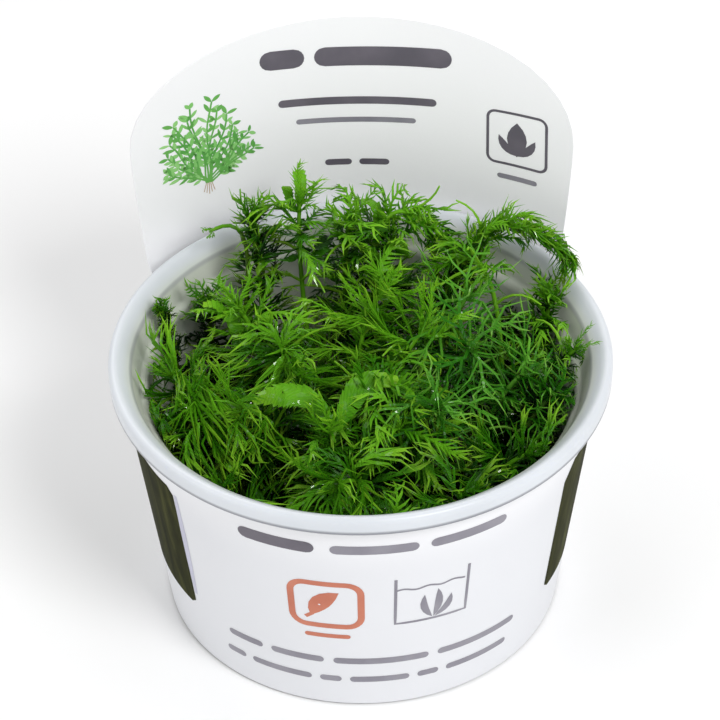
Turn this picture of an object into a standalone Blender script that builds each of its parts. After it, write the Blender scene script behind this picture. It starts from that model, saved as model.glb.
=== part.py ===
"""Feathery water milfoil shoots growing in a small culture cup with a card sleeve.

Sizes are written in millimetres and turned into metres when a mesh is made. The origin is the
middle of the cup's base, +Z is up, and the tall back card of the sleeve stands on the +Y side.
"""

import math
import random

import bmesh
import bpy
from mathutils import Vector, noise
from mathutils.bvhtree import BVHTree

MM = 0.001
GAP = 0.35
ROUND_SIDES = 48

# Cup
CUP_HEIGHT = 52.6
RIM_RADIUS = 45.0
RIM_TOP_INNER_RADIUS = 41.3
RIM_SKIRT_HEIGHT = 3.4
RIM_SKIRT_THICKNESS = 0.85
COLLAR_RADIUS = 41.85
LID_SEAT_RADIUS = 40.5
LID_SEAT_HEIGHT = 51.0
LEDGE_HEIGHT = 46.0
WALL_TAPER = 0.1304
WALL_THICKNESS = 1.0
FLOOR_THICKNESS = 1.6

# Card sleeve
SLEEVE_BOTTOM = 0.5
SLEEVE_TOP = 48.7
SLEEVE_THICKNESS = 0.45
SLEEVE_BOTTOM_RADIUS = 36.33
SLEEVE_TOP_RADIUS = 42.68
FLARE_START = 14.0
FLARE_END_ANGLE = math.radians(62)
NOTCH_HEIGHT = 40.5
NOTCH_COLUMNS = 1

# Back card, whose heights are measured from the top of the cup
CARD_HEIGHT = 38.8
CARD_WIDEST_HEIGHT = 18.0
CARD_HALF_WIDTH = 40.5
CARD_RIM_HALF_WIDTH = 38.85
CARD_FOOT_HALF_WIDTH = 33.0
CARD_FOOT_HEIGHT = NOTCH_HEIGHT - CUP_HEIGHT
CARD_FOOT_ROUND = 3.2
CARD_OFFSET = 45.6
CARD_LEAN = 0.07
CARD_SWAY = 0.9
CARD_SWAY_END = 20.0
CARD_CURVE_RADIUS = 65.67
CARD_CURVE_OPENING = 0.79
CARD_SHOULDER_POWER = 2.2
CARD_COLUMNS = 12

# Gel
GEL_TOP = 14.5
GEL_LUMP = 1.6
GEL_SIDES = 24
GEL_FOOT_ROUND = 2.0

# Shoots
ROOT_GAP = 0.5
UPRIGHT_SHARE = 0.45
ROUTE_STEPS = 60
STEM_RADIUS = 0.62
STEM_THINNING = 0.25
CURL_RADIUS = 0.5
CURL_RINGS = 9
WHORL_SPACING = 4.2
WHORL_LENGTH = 1.3
LEAVES_IN_WHORL = 4
LOW_SPREAD = 76
TIP_SPREAD = 42
MOST_SPREAD = 95
LEAF_TURN = 18
LEAST_SLANT = 0.15
LEAST_STRAIGHTNESS = 0.4
LEAF_THICKNESS = 0.5
MOST_SOLID_LEAVES = 10

# Each shoot: root (x, y), the point that bends the stem, tip, leaf length, leaf width, number of whorls,
# and how widely its leaves spread.
SHOOTS = [
    ((-8, 13), (-12, 24, 54), (-10.5, 26.5, 66), 10.5, 4.4, 3, 1.15),
    ((-17, 12), (-18.5, 26, 52), (-18.8, 26.8, 61.5), 8.5, 4.2, 5, 0.55),
    ((-26, 18), (-28, 20, 40), (-27.5, 19.5, 48.5), 9, 4, 4, 1.0),
    ((-24, 15), (-14, 29, 67), (-27.3, 27, 59), 0, 0, 0, 0),
    ((-2, 22), (-4, 28, 54), (-1, 27, 62), 11, 4.6, 6, 1.1),
    ((3, 15), (5, 25, 50), (6, 25.5, 57), 13, 4.6, 5, 1.1),
    ((3, 24), (-1, 31, 76), (16, 28.5, 55), 10, 4.2, 6, 0.8),
    ((13, 18), (19, 33, 72), (37.5, 20.5, 57.5), 8.5, 4, 8, 0.35),
    ((26, 8), (27, 16, 66), (17, 21.5, 55.5), 8, 4, 3, 1.0),
    ((28, 3), (33, 13, 44), (35, 16, 51), 10, 4.2, 5, 1.1),
    ((25, -2), (33, -1, 49), (38.6, -0.8, 53), 6.5, 2.6, 4, 1.4),
    ((22, -12), (29, -9, 45), (34, -9, 49), 14, 4.4, 4, 1.0),
    ((16, -20), (22, -21, 43), (29, -21, 46), 14, 4.4, 4, 1.0),
    ((15, 3), (18, 2, 50), (19.4, -2, 54.5), 16, 5.2, 3, 1.5),
    ((10, 8), (15, 11, 50), (19.5, 10.5, 56), 16, 5, 4, 1.2),
    ((0, 2), (-3, 6, 50), (4, 11, 57), 15, 4.8, 5, 1.0),
    ((-8, 3), (-17, 8, 56), (-13, -3, 52.5), 14, 4.8, 4, 1.0),
    ((-15, 5), (-17, 10, 48), (-22, 11, 54), 14, 5, 4, 1.1),
    ((0, -8), (-2, -8, 50), (5, -10, 52), 16, 5.2, 5, 1.0),
    ((-12, -7), (-15, -8, 47), (-20, -12, 49), 15, 5, 4, 1.0),
    ((2, -18), (2, -22, 44), (-4, -28, 46), 15, 4.8, 4, 1.0),
    ((9, -14), (7, -17, 44), (6.5, -17.5, 49.5), 13, 4.8, 4, 1.0),
    ((-8, -19), (-6, -18, 44), (-4.5, -18.5, 50), 14, 5, 4, 1.0),
    ((-20, -12), (-24, -12, 43), (-29, -11, 48), 15, 4.8, 4, 1.0),
    ((-22, -3), (-27, -3, 45), (-33.5, -2, 49), 15, 4.8, 4, 1.0),
    ((-25, 7), (-35.4, 12, 38), (-35.8, 12.8, 51.5), 5.5, 3, 4, 0.6),
    ((-17, -22), (-19, -24, 36), (-25, -25, 42), 14, 4.4, 3, 1.1),
    ((10, -4), (13, -8, 49), (13, -15, 51), 15, 5, 5, 1.1),
    ((24, 20), (25, 23, 32), (27, 21, 38), 12, 4, 3, 1.0),
    ((20, -5), (23, -6, 47), (29, -5, 51), 15, 5, 4, 1.2),
    ((8, -24), (7, -29, 34), (4, -33.5, 42), 14, 4.2, 3, 1.1),
    ((21, -22), (20, -27, 34), (17, -30.5, 43), 14, 4.2, 3, 1.1),
    ((5, -1), (5, -1, 50), (11, 3, 54), 15, 4.8, 4, 1.1),
    ((-28, -14), (-32, -11, 36), (-34.5, -12, 45), 11, 4.2, 3, 0.8),
]

# Single leaves whose place counts, for each shoot: the whorl they grow from, counted from the tip, then
# their middle, tip and width.
PLACED_LEAVES = {
    1: [(0, (-10.2, 27, 70.5), (-9.4, 27.2, 75), 3.2), (1, (-15, 26, 66), (-18.3, 25, 64), 5)],
    2: [(0, (-20.8, 26.8, 65), (-22.6, 26.4, 68.5), 3.8), (0, (-17.6, 27, 65), (-16.2, 26.4, 68.3), 3.8)],
    5: [(0, (1.2, 27.6, 65.5), (3.9, 28, 68.5), 2.6)],
    8: [(4, (28.5, 25, 57.5), (29.5, 24.3, 54.5), 3.6), (2, (36, 21.6, 59), (41.5, 18, 56.4), 3.8)],
    11: [(0, (40, 0.6, 55.4), (41.6, 2, 56.8), 1.2), (0, (40.6, -1.6, 54.6), (43, -2, 55), 1.2)],
    15: [(0, (13, 7, 56.5), (7.5, 3.9, 54), 6), (1, (13.5, 3, 54.5), (7.8, -6.6, 50.5), 6)],
    22: [(0, (12.7, -23, 51.2), (19, -25.8, 49), 5)],
    23: [(0, (-10.7, -12.5, 54), (-19, -13, 52), 6.4), (0, (-1, -14.2, 54), (6.6, -10.6, 54.6), 6.8)],
    24: [(0, (-26, -15, 47.5), (-22.4, -22, 43.5), 5.6)],
    25: [(0, (-30, -8.5, 49.5), (-25.5, -18, 45.5), 5.6), (1, (-27.5, -7, 49.8), (-20.6, -16, 47), 5.6)],
}


def clear_scene():
    for obj in list(bpy.data.objects):
        bpy.data.objects.remove(obj, do_unlink=True)


def make_material(name, colour, roughness):
    material = bpy.data.materials.new(name)
    material.use_nodes = True
    shader = material.node_tree.nodes["Principled BSDF"]
    shader.inputs["Base Color"].default_value = (*colour, 1)
    shader.inputs["Roughness"].default_value = roughness
    shader.inputs["Metallic"].default_value = 0
    return material


def add_object(name, bm, material, smooth_angle):
    """Turns a mesh made in millimetres into a named object in metres."""
    bmesh.ops.scale(bm, vec=(MM, MM, MM), verts=bm.verts)
    mesh = bpy.data.meshes.new(name)
    bm.to_mesh(mesh)
    bm.free()
    mesh.shade_smooth()
    mesh.set_sharp_from_angle(angle=math.radians(smooth_angle))
    mesh.materials.append(material)
    obj = bpy.data.objects.new(name, mesh)
    bpy.context.scene.collection.objects.link(obj)
    return obj


def ease(t):
    """0 below 0, 1 above 1, and a smooth step between."""
    t = min(max(t, 0.0), 1.0)
    return t * t * (3 - 2 * t)


def wall_inner_radius(height):
    return LID_SEAT_RADIUS - 2.1 - WALL_TAPER * (LEDGE_HEIGHT - height)


def turn(profile):
    """A closed turned body from a profile that starts and ends on the axis."""
    bm = bmesh.new()
    verts = [bm.verts.new((radius, 0, height)) for radius, height in profile]
    edges = [bm.edges.new(pair) for pair in zip(verts, verts[1:])]
    bmesh.ops.spin(
        bm,
        geom=verts + edges,
        cent=(0, 0, 0),
        axis=(0, 0, 1),
        angle=math.tau,
        steps=ROUND_SIDES,
        use_merge=True,
    )
    bmesh.ops.remove_doubles(bm, verts=bm.verts, dist=1e-4)
    bmesh.ops.recalc_face_normals(bm, faces=bm.faces)
    return bm


def make_cup(material):
    """The cup: up the outside, over the rim and down the inside."""
    skirt_inner = RIM_RADIUS - RIM_SKIRT_THICKNESS
    skirt_bottom = CUP_HEIGHT - RIM_SKIRT_HEIGHT
    base_radius = wall_inner_radius(0) + WALL_THICKNESS
    shoulder_radius = wall_inner_radius(LEDGE_HEIGHT - 1) + WALL_THICKNESS
    outside = [
        (0, 0),
        (base_radius - 1.1, 0),
        (base_radius - 0.2, 0.5),
        (base_radius + 0.15, 1.5),
        (shoulder_radius, LEDGE_HEIGHT - 1),
        (COLLAR_RADIUS - 0.3, LEDGE_HEIGHT + 0.4),
        (COLLAR_RADIUS, SLEEVE_TOP + 0.4),
    ]
    rim = [
        (COLLAR_RADIUS, CUP_HEIGHT - 1.1),
        (skirt_inner, CUP_HEIGHT - 1.1),
        (skirt_inner, skirt_bottom),
        (RIM_RADIUS - 0.1, skirt_bottom),
        (RIM_RADIUS, CUP_HEIGHT - 0.7),
        (RIM_RADIUS - 0.7, CUP_HEIGHT),
        (RIM_TOP_INNER_RADIUS + 0.3, CUP_HEIGHT),
        (RIM_TOP_INNER_RADIUS, CUP_HEIGHT - 0.35),
    ]
    inside = [
        (RIM_TOP_INNER_RADIUS - 0.2, LID_SEAT_HEIGHT + 0.1),
        (LID_SEAT_RADIUS, LID_SEAT_HEIGHT),
        (LID_SEAT_RADIUS - 0.9, LEDGE_HEIGHT + 0.7),
        (wall_inner_radius(LEDGE_HEIGHT) + 0.3, LEDGE_HEIGHT),
        (wall_inner_radius(LEDGE_HEIGHT - 0.5), LEDGE_HEIGHT - 0.5),
        (wall_inner_radius(FLOOR_THICKNESS + 1.6), FLOOR_THICKNESS + 1.6),
        (wall_inner_radius(FLOOR_THICKNESS) - 1.5, FLOOR_THICKNESS),
        (0, FLOOR_THICKNESS),
    ]
    return add_object("cup", turn(outside + rim + inside), material, 35)


def card_half_width(height):
    """Half the width of the back card at a height above the rim."""
    if height > CARD_WIDEST_HEIGHT:
        share = (height - CARD_WIDEST_HEIGHT) / (CARD_HEIGHT - CARD_WIDEST_HEIGHT)
        return CARD_HALF_WIDTH * math.sqrt(max(0.0, 1 - share**CARD_SHOULDER_POWER))
    share = (CARD_WIDEST_HEIGHT - height) / CARD_WIDEST_HEIGHT
    half = CARD_HALF_WIDTH - (CARD_HALF_WIDTH - CARD_RIM_HALF_WIDTH) * share**1.3
    rise = min(1.0, (height - CARD_FOOT_HEIGHT) / CARD_FOOT_ROUND)
    return CARD_FOOT_HALF_WIDTH + (half - CARD_FOOT_HALF_WIDTH) * math.sqrt(1 - (1 - rise) ** 2)


def card_sway(height):
    """How far the card stands to the left, which fades out at its foot and its top."""
    rise = ease((height - CARD_FOOT_HEIGHT) / 8)
    return CARD_SWAY * rise * (1 - ease((height - CARD_SWAY_END) / (CARD_HEIGHT - CARD_SWAY_END)))


def card_front(across, height):
    """A point on the card's front face, across from its middle and up from the rim."""
    radius = CARD_CURVE_RADIUS + CARD_CURVE_OPENING * height
    back = CARD_OFFSET + CARD_LEAN * height
    depth = back - radius + math.sqrt(radius**2 - across**2)
    return Vector((across - card_sway(height), depth, CUP_HEIGHT + height))


def card_distance(angle, height):
    """How far the card's front face is from the cup's axis, at an angle from the back."""
    radius = CARD_CURVE_RADIUS + CARD_CURVE_OPENING * height
    centre = CARD_OFFSET + CARD_LEAN * height - radius
    return centre * math.cos(angle) + math.sqrt(radius**2 - (centre * math.sin(angle)) ** 2)


def cone_radius(height):
    """The radius of the band's inner face where it only follows the cup."""
    share = height / SLEEVE_TOP
    return SLEEVE_BOTTOM_RADIUS + (SLEEVE_TOP_RADIUS - SLEEVE_BOTTOM_RADIUS) * share - SLEEVE_THICKNESS


def flare(height):
    """How far the back of the band has left the cup for the card, from 0 to 1."""
    return ease((height - FLARE_START) / (SLEEVE_TOP - FLARE_START))


def card_point(across, height):
    """A point on the card's front face, which bends in to meet the band below the rim."""
    point = card_front(across, height)
    distance = math.hypot(point.x, point.y)
    cone = cone_radius(CUP_HEIGHT + height)
    share = (cone + flare(CUP_HEIGHT + height) * (distance - cone)) / distance
    return Vector((point.x * share, point.y * share, point.z))


def sleeve_point(angle, height, foot_angle):
    """A point on the band's inner face, at an angle from the back: a cone that flares to the card."""
    cone = cone_radius(height)
    fade = 1 - ease((abs(angle) - foot_angle) / (FLARE_END_ANGLE - foot_angle))
    fade *= 1 - ease((height - NOTCH_HEIGHT) / (SLEEVE_TOP - NOTCH_HEIGHT))
    radius = cone
    if flare(height) * fade > 0:
        radius += flare(height) * fade * (card_distance(angle, height - CUP_HEIGHT) - cone)
    return Vector((radius * math.sin(angle), radius * math.cos(angle), height))


def make_sleeve(material):
    """The band and the back card as one sheet with a notch at each side, given its thickness outwards."""
    columns = [2 * i / CARD_COLUMNS - 1 for i in range(CARD_COLUMNS + 1)]
    foot = [card_point(CARD_FOOT_HALF_WIDTH * column, CARD_FOOT_HEIGHT) for column in columns]
    angles = [math.atan2(point.x, point.y) for point in foot]
    foot_angle = angles[-1]
    others = ROUND_SIDES - CARD_COLUMNS
    step = (math.tau - 2 * foot_angle) / others
    angles += [foot_angle + step * i for i in range(1, others)]
    angles = [(angle + math.pi) % math.tau - math.pi for angle in angles]

    bm = bmesh.new()
    low = None
    for height in (SLEEVE_BOTTOM, FLARE_START, 24.0, 33.0, NOTCH_HEIGHT):
        high = [bm.verts.new(sleeve_point(angle, height, foot_angle)) for angle in angles]
        for i in range(ROUND_SIDES if low else 0):
            j = (i + 1) % ROUND_SIDES
            bm.faces.new((low[i], low[j], high[j], high[i]))
        low = high

    first, last = CARD_COLUMNS + NOTCH_COLUMNS, ROUND_SIDES - NOTCH_COLUMNS
    row = low[first : last + 1]
    for height in (0.5 * (NOTCH_HEIGHT + SLEEVE_TOP), SLEEVE_TOP):
        above = [bm.verts.new(sleeve_point(angle, height, foot_angle)) for angle in angles[first : last + 1]]
        for i in range(last - first):
            bm.faces.new((row[i], row[i + 1], above[i + 1], above[i]))
        row = above

    card_heights = [CARD_FOOT_HEIGHT + rise for rise in (0.4, 1.4, CARD_FOOT_ROUND)] + [-3.9, 6.0, 12.0]
    shoulder = CARD_HEIGHT - CARD_WIDEST_HEIGHT
    turns = (0, 16, 32, 48, 62, 74, 84)
    card_heights += [CARD_WIDEST_HEIGHT + shoulder * math.sin(math.radians(turn)) for turn in turns]
    row = low[: CARD_COLUMNS + 1]
    for height in card_heights:
        half = card_half_width(height)
        above = [bm.verts.new(card_point(half * column, height)) for column in columns]
        for i in range(CARD_COLUMNS):
            bm.faces.new((row[i], row[i + 1], above[i + 1], above[i]))
        row = above
    bmesh.ops.recalc_face_normals(bm, faces=bm.faces)
    if sum(face.normal.dot(face.calc_center_median()) for face in bm.faces) < 0:
        bmesh.ops.reverse_faces(bm, faces=bm.faces)
    sleeve = add_object("label_sleeve", bm, material, 40)
    solidify = sleeve.modifiers.new("card thickness", "SOLIDIFY")
    solidify.thickness = SLEEVE_THICKNESS * MM
    solidify.offset = 1
    return sleeve


def gel_height(x, y):
    lumps = noise.noise(Vector((x, y, 0)) * 0.16) + 0.5 * noise.noise(Vector((x, y, 9)) * 0.35)
    return GEL_TOP + GEL_LUMP * lumps


def make_gel(material):
    """The gel: a plug that fills the cup's bottom, with a lumpy top."""
    bm = bmesh.new()
    bottom = FLOOR_THICKNESS + GAP
    side = wall_inner_radius(GEL_TOP) - GAP
    ring_radii = [side * share for share in (0.25, 0.5, 0.75, 1.0)]
    rows = []
    for radius in ring_radii:
        ring = []
        for i in range(GEL_SIDES):
            x = radius * math.cos(math.tau * i / GEL_SIDES)
            y = radius * math.sin(math.tau * i / GEL_SIDES)
            height = GEL_TOP - 0.6 if radius == side else gel_height(x, y)
            ring.append(bm.verts.new((x, y, height)))
        rows.append(ring)
    turns = [math.tau * i / GEL_SIDES for i in range(GEL_SIDES)]
    foot = (wall_inner_radius(bottom + GEL_FOOT_ROUND) - GAP, bottom + GEL_FOOT_ROUND)
    for radius, height in (foot, (foot[0] - GEL_FOOT_ROUND, bottom)):
        rows.append([bm.verts.new((radius * math.cos(a), radius * math.sin(a), height)) for a in turns])
    top = bm.verts.new((0, 0, gel_height(0, 0)))
    for i in range(GEL_SIDES):
        j = (i + 1) % GEL_SIDES
        bm.faces.new((top, rows[0][i], rows[0][j]))
        for inner, outer in zip(rows, rows[1:]):
            bm.faces.new((inner[i], outer[i], outer[j], inner[j]))
    bm.faces.new(list(reversed(rows[-1])))
    bmesh.ops.recalc_face_normals(bm, faces=bm.faces)
    return add_object("growth_gel", bm, material, 60)


def room_radius(height):
    """How far from the axis a leaf may reach at a height: the wall, the lid seat, then out over the rim."""
    if height < LEDGE_HEIGHT:
        return wall_inner_radius(height)
    if height < LID_SEAT_HEIGHT:
        return LID_SEAT_RADIUS - 1.9 + 1.7 * (height - LEDGE_HEIGHT) / (LID_SEAT_HEIGHT - LEDGE_HEIGHT)
    return min(RIM_RADIUS - 0.8, LID_SEAT_RADIUS + max(0.0, height - CUP_HEIGHT - 0.4) * 1.4)


def keep_in(point, margin):
    """The point, moved towards the axis if the cup is in its way, and up if the gel is."""
    radius = math.hypot(point.x, point.y)
    limit = room_radius(point.z) - margin
    share = min(1.0, limit / radius) if radius > 0 else 1.0
    return Vector((point.x * share, point.y * share, max(point.z, GEL_TOP + GEL_LUMP + 1)))


def stem_route(ground, bend, tip):
    """A smooth curve that leaves the gel upright, as a function from 0 at the root to 1 at the tip."""
    start = ground + Vector((0, 0, ROOT_GAP))
    bend, tip = Vector(bend), Vector(tip)
    rise = start + Vector((0, 0, UPRIGHT_SHARE * (bend.z - start.z)))

    def at(t):
        s = 1 - t
        return start * s**3 + rise * 3 * s * s * t + bend * 3 * s * t * t + tip * t**3

    return at


def measure(at):
    """Points along the route, each with its distance from the root."""
    points = [at(i / ROUTE_STEPS) for i in range(ROUTE_STEPS + 1)]
    distances = [0.0]
    for a, b in zip(points, points[1:]):
        distances.append(distances[-1] + (b - a).length)
    return points, distances


def place_on(route, distance):
    """The point on the route at a distance from the root, and the direction there."""
    points, distances = route
    i = 1
    while i < len(points) - 1 and distances[i] < distance:
        i += 1
    share = (distance - distances[i - 1]) / (distances[i] - distances[i - 1])
    return points[i - 1].lerp(points[i], share), (points[i] - points[i - 1]).normalized()


def side_of_stem(along, angle):
    """The direction square to the stem at an angle round it."""
    side = along.cross(Vector((0, 1, 0.2))).normalized()
    return side * math.cos(angle) + along.cross(side) * math.sin(angle)


def stem_angle(number, distance):
    """How far the stem's four sides are turned: half a side from one whorl to the next."""
    return math.radians(number * 40 + 45 * distance / WHORL_SPACING)


def plan_leaf(rng, centre, along, angle, share, size, loose):
    """The middle, tip and width of one leaf. share is 0 on the lowest whorl and 1 at the stem's tip."""
    length, width = size
    out = side_of_stem(along, angle + math.radians(rng.uniform(-LEAF_TURN, LEAF_TURN)))
    spread = (LOW_SPREAD + (TIP_SPREAD - LOW_SPREAD) * share) * loose + rng.uniform(-14, 14)
    spread = math.radians(min(spread, MOST_SPREAD))
    length *= (1 - 0.2 * share) * rng.uniform(0.75, 1.2)
    width *= rng.uniform(0.85, 1.15)
    start = along * math.cos(spread) + out * math.sin(spread)
    swing = along.cross(out) * rng.uniform(-0.8, 0.8)
    droop = Vector((0, 0, rng.uniform(-1.1, 0.3)))
    middle = keep_in(centre + start * length * 0.5, 1.0)
    tip = keep_in(middle + (start + swing + droop).normalized() * length * 0.5, 0.7)
    return middle, tip, width


def plan_leaves(number, route, size, whorls, loose):
    """The whorls of a shoot from its tip down: (distance, side, middle, tip, width) for each leaf.

    A placed leaf stands in for the leaf of its whorl that points most nearly the same way.
    """
    rng = random.Random(number)
    leaves = []
    for i in range(whorls):
        distance = route[1][-1] - WHORL_LENGTH / 2 - WHORL_SPACING * i
        centre, along = place_on(route, distance)
        for side in range(LEAVES_IN_WHORL):
            angle = stem_angle(number, distance) + math.radians(45 + 90 * side)
            share = 1 - i / (whorls - 1)
            leaves.append((distance, side, *plan_leaf(rng, centre, along, angle, share, size, loose)))
    free = set(range(len(leaves)))
    for whorl, middle, tip, width in PLACED_LEAVES.get(number, ()):
        middle, tip = Vector(middle), Vector(tip)
        centre, _ = place_on(route, leaves[LEAVES_IN_WHORL * whorl][0])
        near = [i for i in free if i // LEAVES_IN_WHORL == whorl]
        chosen = max(near, key=lambda i: (leaves[i][2] - centre).normalized().dot(middle - centre))
        free.remove(chosen)
        leaves[chosen] = (*leaves[chosen][:2], middle, tip, width)
    return leaves


def stem_rings(number, route, whorls):
    """Four-cornered rings up the stem: three below the leaves, without a twist, then two to a whorl."""
    total = route[1][-1]
    lowest = total - WHORL_LENGTH - WHORL_SPACING * (whorls - 1)
    if whorls:
        stops = [lowest * i / 3 for i in range(3)]
        stops += [lowest + WHORL_SPACING * i + step for i in range(whorls) for step in (0, WHORL_LENGTH)]
    else:
        stops = [total * i / CURL_RINGS for i in range(CURL_RINGS + 1)]
    rings = []
    for distance in stops:
        centre, along = place_on(route, distance)
        radius = (STEM_RADIUS if whorls else CURL_RADIUS) * (1 - STEM_THINNING * distance / total)
        angle = stem_angle(number, max(distance, lowest))
        rings.append([centre + side_of_stem(along, angle + math.radians(90 * k)) * radius for k in range(4)])
    return rings


def face_corners(rings, row, side):
    """The corners of one side face of the stem between two rings."""
    low, high = rings[row], rings[row + 1]
    return [low[side], low[(side + 1) % 4], high[(side + 1) % 4], high[side]]


def grows_outwards(corners, middle, tip):
    """Whether a leaf leaves the stem's face, doesn't turn back through it and isn't folded."""
    foot = sum(corners, Vector()) / 4
    outwards = (corners[1] - corners[0]).cross(corners[3] - corners[0]).normalized()
    if any((spot - foot).normalized().dot(outwards) < LEAST_SLANT for spot in (middle, tip)):
        return False
    return (middle - foot).normalized().dot((tip - middle).normalized()) > LEAST_STRAIGHTNESS


def leaf_ring(corners, middle, tip, width, thickness):
    """The four corners of a leaf's widest place, in the order of the stem face it grows from."""
    onward = (tip - sum(corners, Vector()) / 4).normalized()
    across = corners[1] - corners[0]
    across = (across - onward * across.dot(onward)).normalized()
    up = onward.cross(across)
    half, thick = across * width / 2, up * thickness / 2
    return [middle - half - thick, middle + half - thick, middle + half + thick, middle - half + thick]


def stem_tree(rings, swell):
    """The stem's surface for testing what it meets, swollen by the gap it has to keep."""
    verts = []
    for ring in rings:
        centre = sum(ring, Vector()) / 4
        verts += [corner + (corner - centre).normalized() * swell for corner in ring]
    faces = [(0, 1, 2, 3), tuple(range(len(verts) - 4, len(verts)))]
    for i in range(len(rings) - 1):
        for k in range(4):
            j = (k + 1) % 4
            faces.append((4 * i + k, 4 * i + j, 4 * i + 4 + j, 4 * i + 4 + k))
    return BVHTree.FromPolygons(verts, faces)


def leaf_tree(corners, blade, swell, start):
    """The leaf's surface from a share of its lower half on to its tip, swollen by the gap it has to keep."""
    middle, tip, width = blade
    ring = leaf_ring(corners, middle, tip, width + 2 * swell, LEAF_THICKNESS + 2 * swell)
    low = [corner.lerp(far, start) for corner, far in zip(corners, ring)]
    end = tip + (tip - middle).normalized() * swell
    faces = [(3, 2, 1, 0)]
    for k in range(4):
        j = (k + 1) % 4
        faces += [(k, j, 4 + j, 4 + k), (4 + k, 4 + j, 8)]
    return BVHTree.FromPolygons(low + ring + [end], faces)


def make_shoot(number, rings, leaves, material):
    """One closed body: a four-sided stem, with a leaf drawn out of each side face that bears one."""
    bm = bmesh.new()
    rows = [[bm.verts.new(corner) for corner in ring] for ring in rings]
    for row in range(len(rows) - 1):
        for side in range(4):
            corners = face_corners(rows, row, side)
            if (row, side) not in leaves:
                bm.faces.new(corners)
                continue
            middle, tip, width = leaves[row, side]
            spots = leaf_ring([corner.co for corner in corners], middle, tip, width, LEAF_THICKNESS)
            ring = [bm.verts.new(spot) for spot in spots]
            end = bm.verts.new(tip)
            for k in range(4):
                j = (k + 1) % 4
                bm.faces.new((corners[k], corners[j], ring[j], ring[k]))
                bm.faces.new((ring[k], ring[j], end))
    bm.faces.new(rows[0])
    bm.faces.new(rows[-1])
    bmesh.ops.recalc_face_normals(bm, faces=bm.faces)
    if bm.calc_volume(signed=True) < 0:
        bmesh.ops.reverse_faces(bm, faces=bm.faces)
    return add_object(f"shoot_{number:02d}", bm, material, 25)


def surface_of(obj):
    """The finished surface of an object, in millimetres."""
    mesh = obj.evaluated_get(bpy.context.evaluated_depsgraph_get()).to_mesh()
    verts = [vert.co / MM for vert in mesh.vertices]
    return BVHTree.FromPolygons(verts, [tuple(face.vertices) for face in mesh.polygons])


def make_shoots(material, holders):
    """All stems are placed first. Then each shoot, from its tip down, keeps the leaves that have room."""
    taken = [("holder", surface, surface) for surface in map(surface_of, holders)]
    gel = taken[-1][1]
    stems = {}
    for number, (root, bend, tip, _, _, whorls, _) in enumerate(SHOOTS, 1):
        ground = gel.ray_cast(Vector((*root, CUP_HEIGHT)), Vector((0, 0, -1)))[0]
        route = measure(stem_route(ground, bend, tip))
        rings = stem_rings(number, route, whorls)
        if any(stem_tree(rings, GAP).overlap(whole) for _, whole, _ in taken):
            raise ValueError(f"the stem of shoot {number} has no room")
        stems[number] = route, rings
        taken.append((number, stem_tree(rings, 0), stem_tree(rings, 0)))
    for number, (*_, length, width, whorls, loose) in enumerate(SHOOTS, 1):
        route, rings = stems[number]
        kept = {}
        for i, leaf in enumerate(plan_leaves(number, route, (length, width), whorls, loose)):
            row = len(rings) - 2 - 2 * (i // LEAVES_IN_WHORL)
            side, blade = leaf[1], leaf[2:]
            corners = face_corners(rings, row, side)
            if not grows_outwards(corners, *blade[:2]):
                continue
            bare, outer = leaf_tree(corners, blade, 0, 0.1), leaf_tree(corners, blade, GAP, 0.5)
            whole = leaf_tree(corners, blade, GAP, 0.1)
            others = [near for owner, near, _ in taken if owner != number]
            own = [(near, far) for owner, near, far in taken if owner == number]
            if any(map(whole.overlap, others)) or any(bare.overlap(a) or outer.overlap(b) for a, b in own):
                continue
            kept[row, side] = blade
            taken.append((number, bare, leaf_tree(corners, blade, 0, 0.5)))
            if len(kept) == MOST_SOLID_LEAVES:
                break
        make_shoot(number, rings, kept, material)


def main():
    clear_scene()
    plastic = make_material("white plastic", (0.66, 0.69, 0.71), 0.35)
    card = make_material("white card", (0.8, 0.81, 0.84), 0.5)
    gel = make_material("culture gel", (0.52, 0.46, 0.33), 0.25)
    green = make_material("shoot green", (0.09, 0.3, 0.02), 0.45)
    holders = [make_cup(plastic), make_sleeve(card), make_gel(gel)]
    make_shoots(green, holders)


main()
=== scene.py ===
"""Feathery water milfoil in its culture cup with a card sleeve: finishes, fine leaves, light and camera.

Lengths are written in millimetres and become metres when a piece is finished. The origin is the middle
of the cup's base, +Z is up, and the tall back card stands on the +Y side.
"""

import math
import random

import bpy
import numpy as np
from mathutils import Euler, Matrix, Vector, noise
from mathutils.bvhtree import BVHTree


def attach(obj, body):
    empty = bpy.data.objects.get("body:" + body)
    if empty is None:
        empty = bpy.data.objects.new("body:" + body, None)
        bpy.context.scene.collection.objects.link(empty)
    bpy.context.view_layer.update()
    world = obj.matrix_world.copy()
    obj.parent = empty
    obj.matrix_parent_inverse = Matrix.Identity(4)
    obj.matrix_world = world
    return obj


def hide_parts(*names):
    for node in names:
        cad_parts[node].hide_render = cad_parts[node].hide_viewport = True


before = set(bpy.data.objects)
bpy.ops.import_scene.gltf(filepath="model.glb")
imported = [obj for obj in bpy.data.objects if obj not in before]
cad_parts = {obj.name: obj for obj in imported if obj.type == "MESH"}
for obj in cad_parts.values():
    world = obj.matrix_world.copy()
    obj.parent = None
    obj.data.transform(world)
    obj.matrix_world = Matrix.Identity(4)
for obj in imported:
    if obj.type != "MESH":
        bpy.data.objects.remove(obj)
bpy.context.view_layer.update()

MM = 0.001

# Cup
CUP_HEIGHT = 52.6
RIM_RADIUS = 45.0
LID_SEAT_RADIUS = 40.5
LID_SEAT_HEIGHT = 51.0
LEDGE_HEIGHT = 46.0
WALL_TAPER = 0.1304
FLOOR_THICKNESS = 1.6
WALL_THICKNESS = 1.0
RIM_EDGE = 49.2
CUP_SIDES = 160

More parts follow.
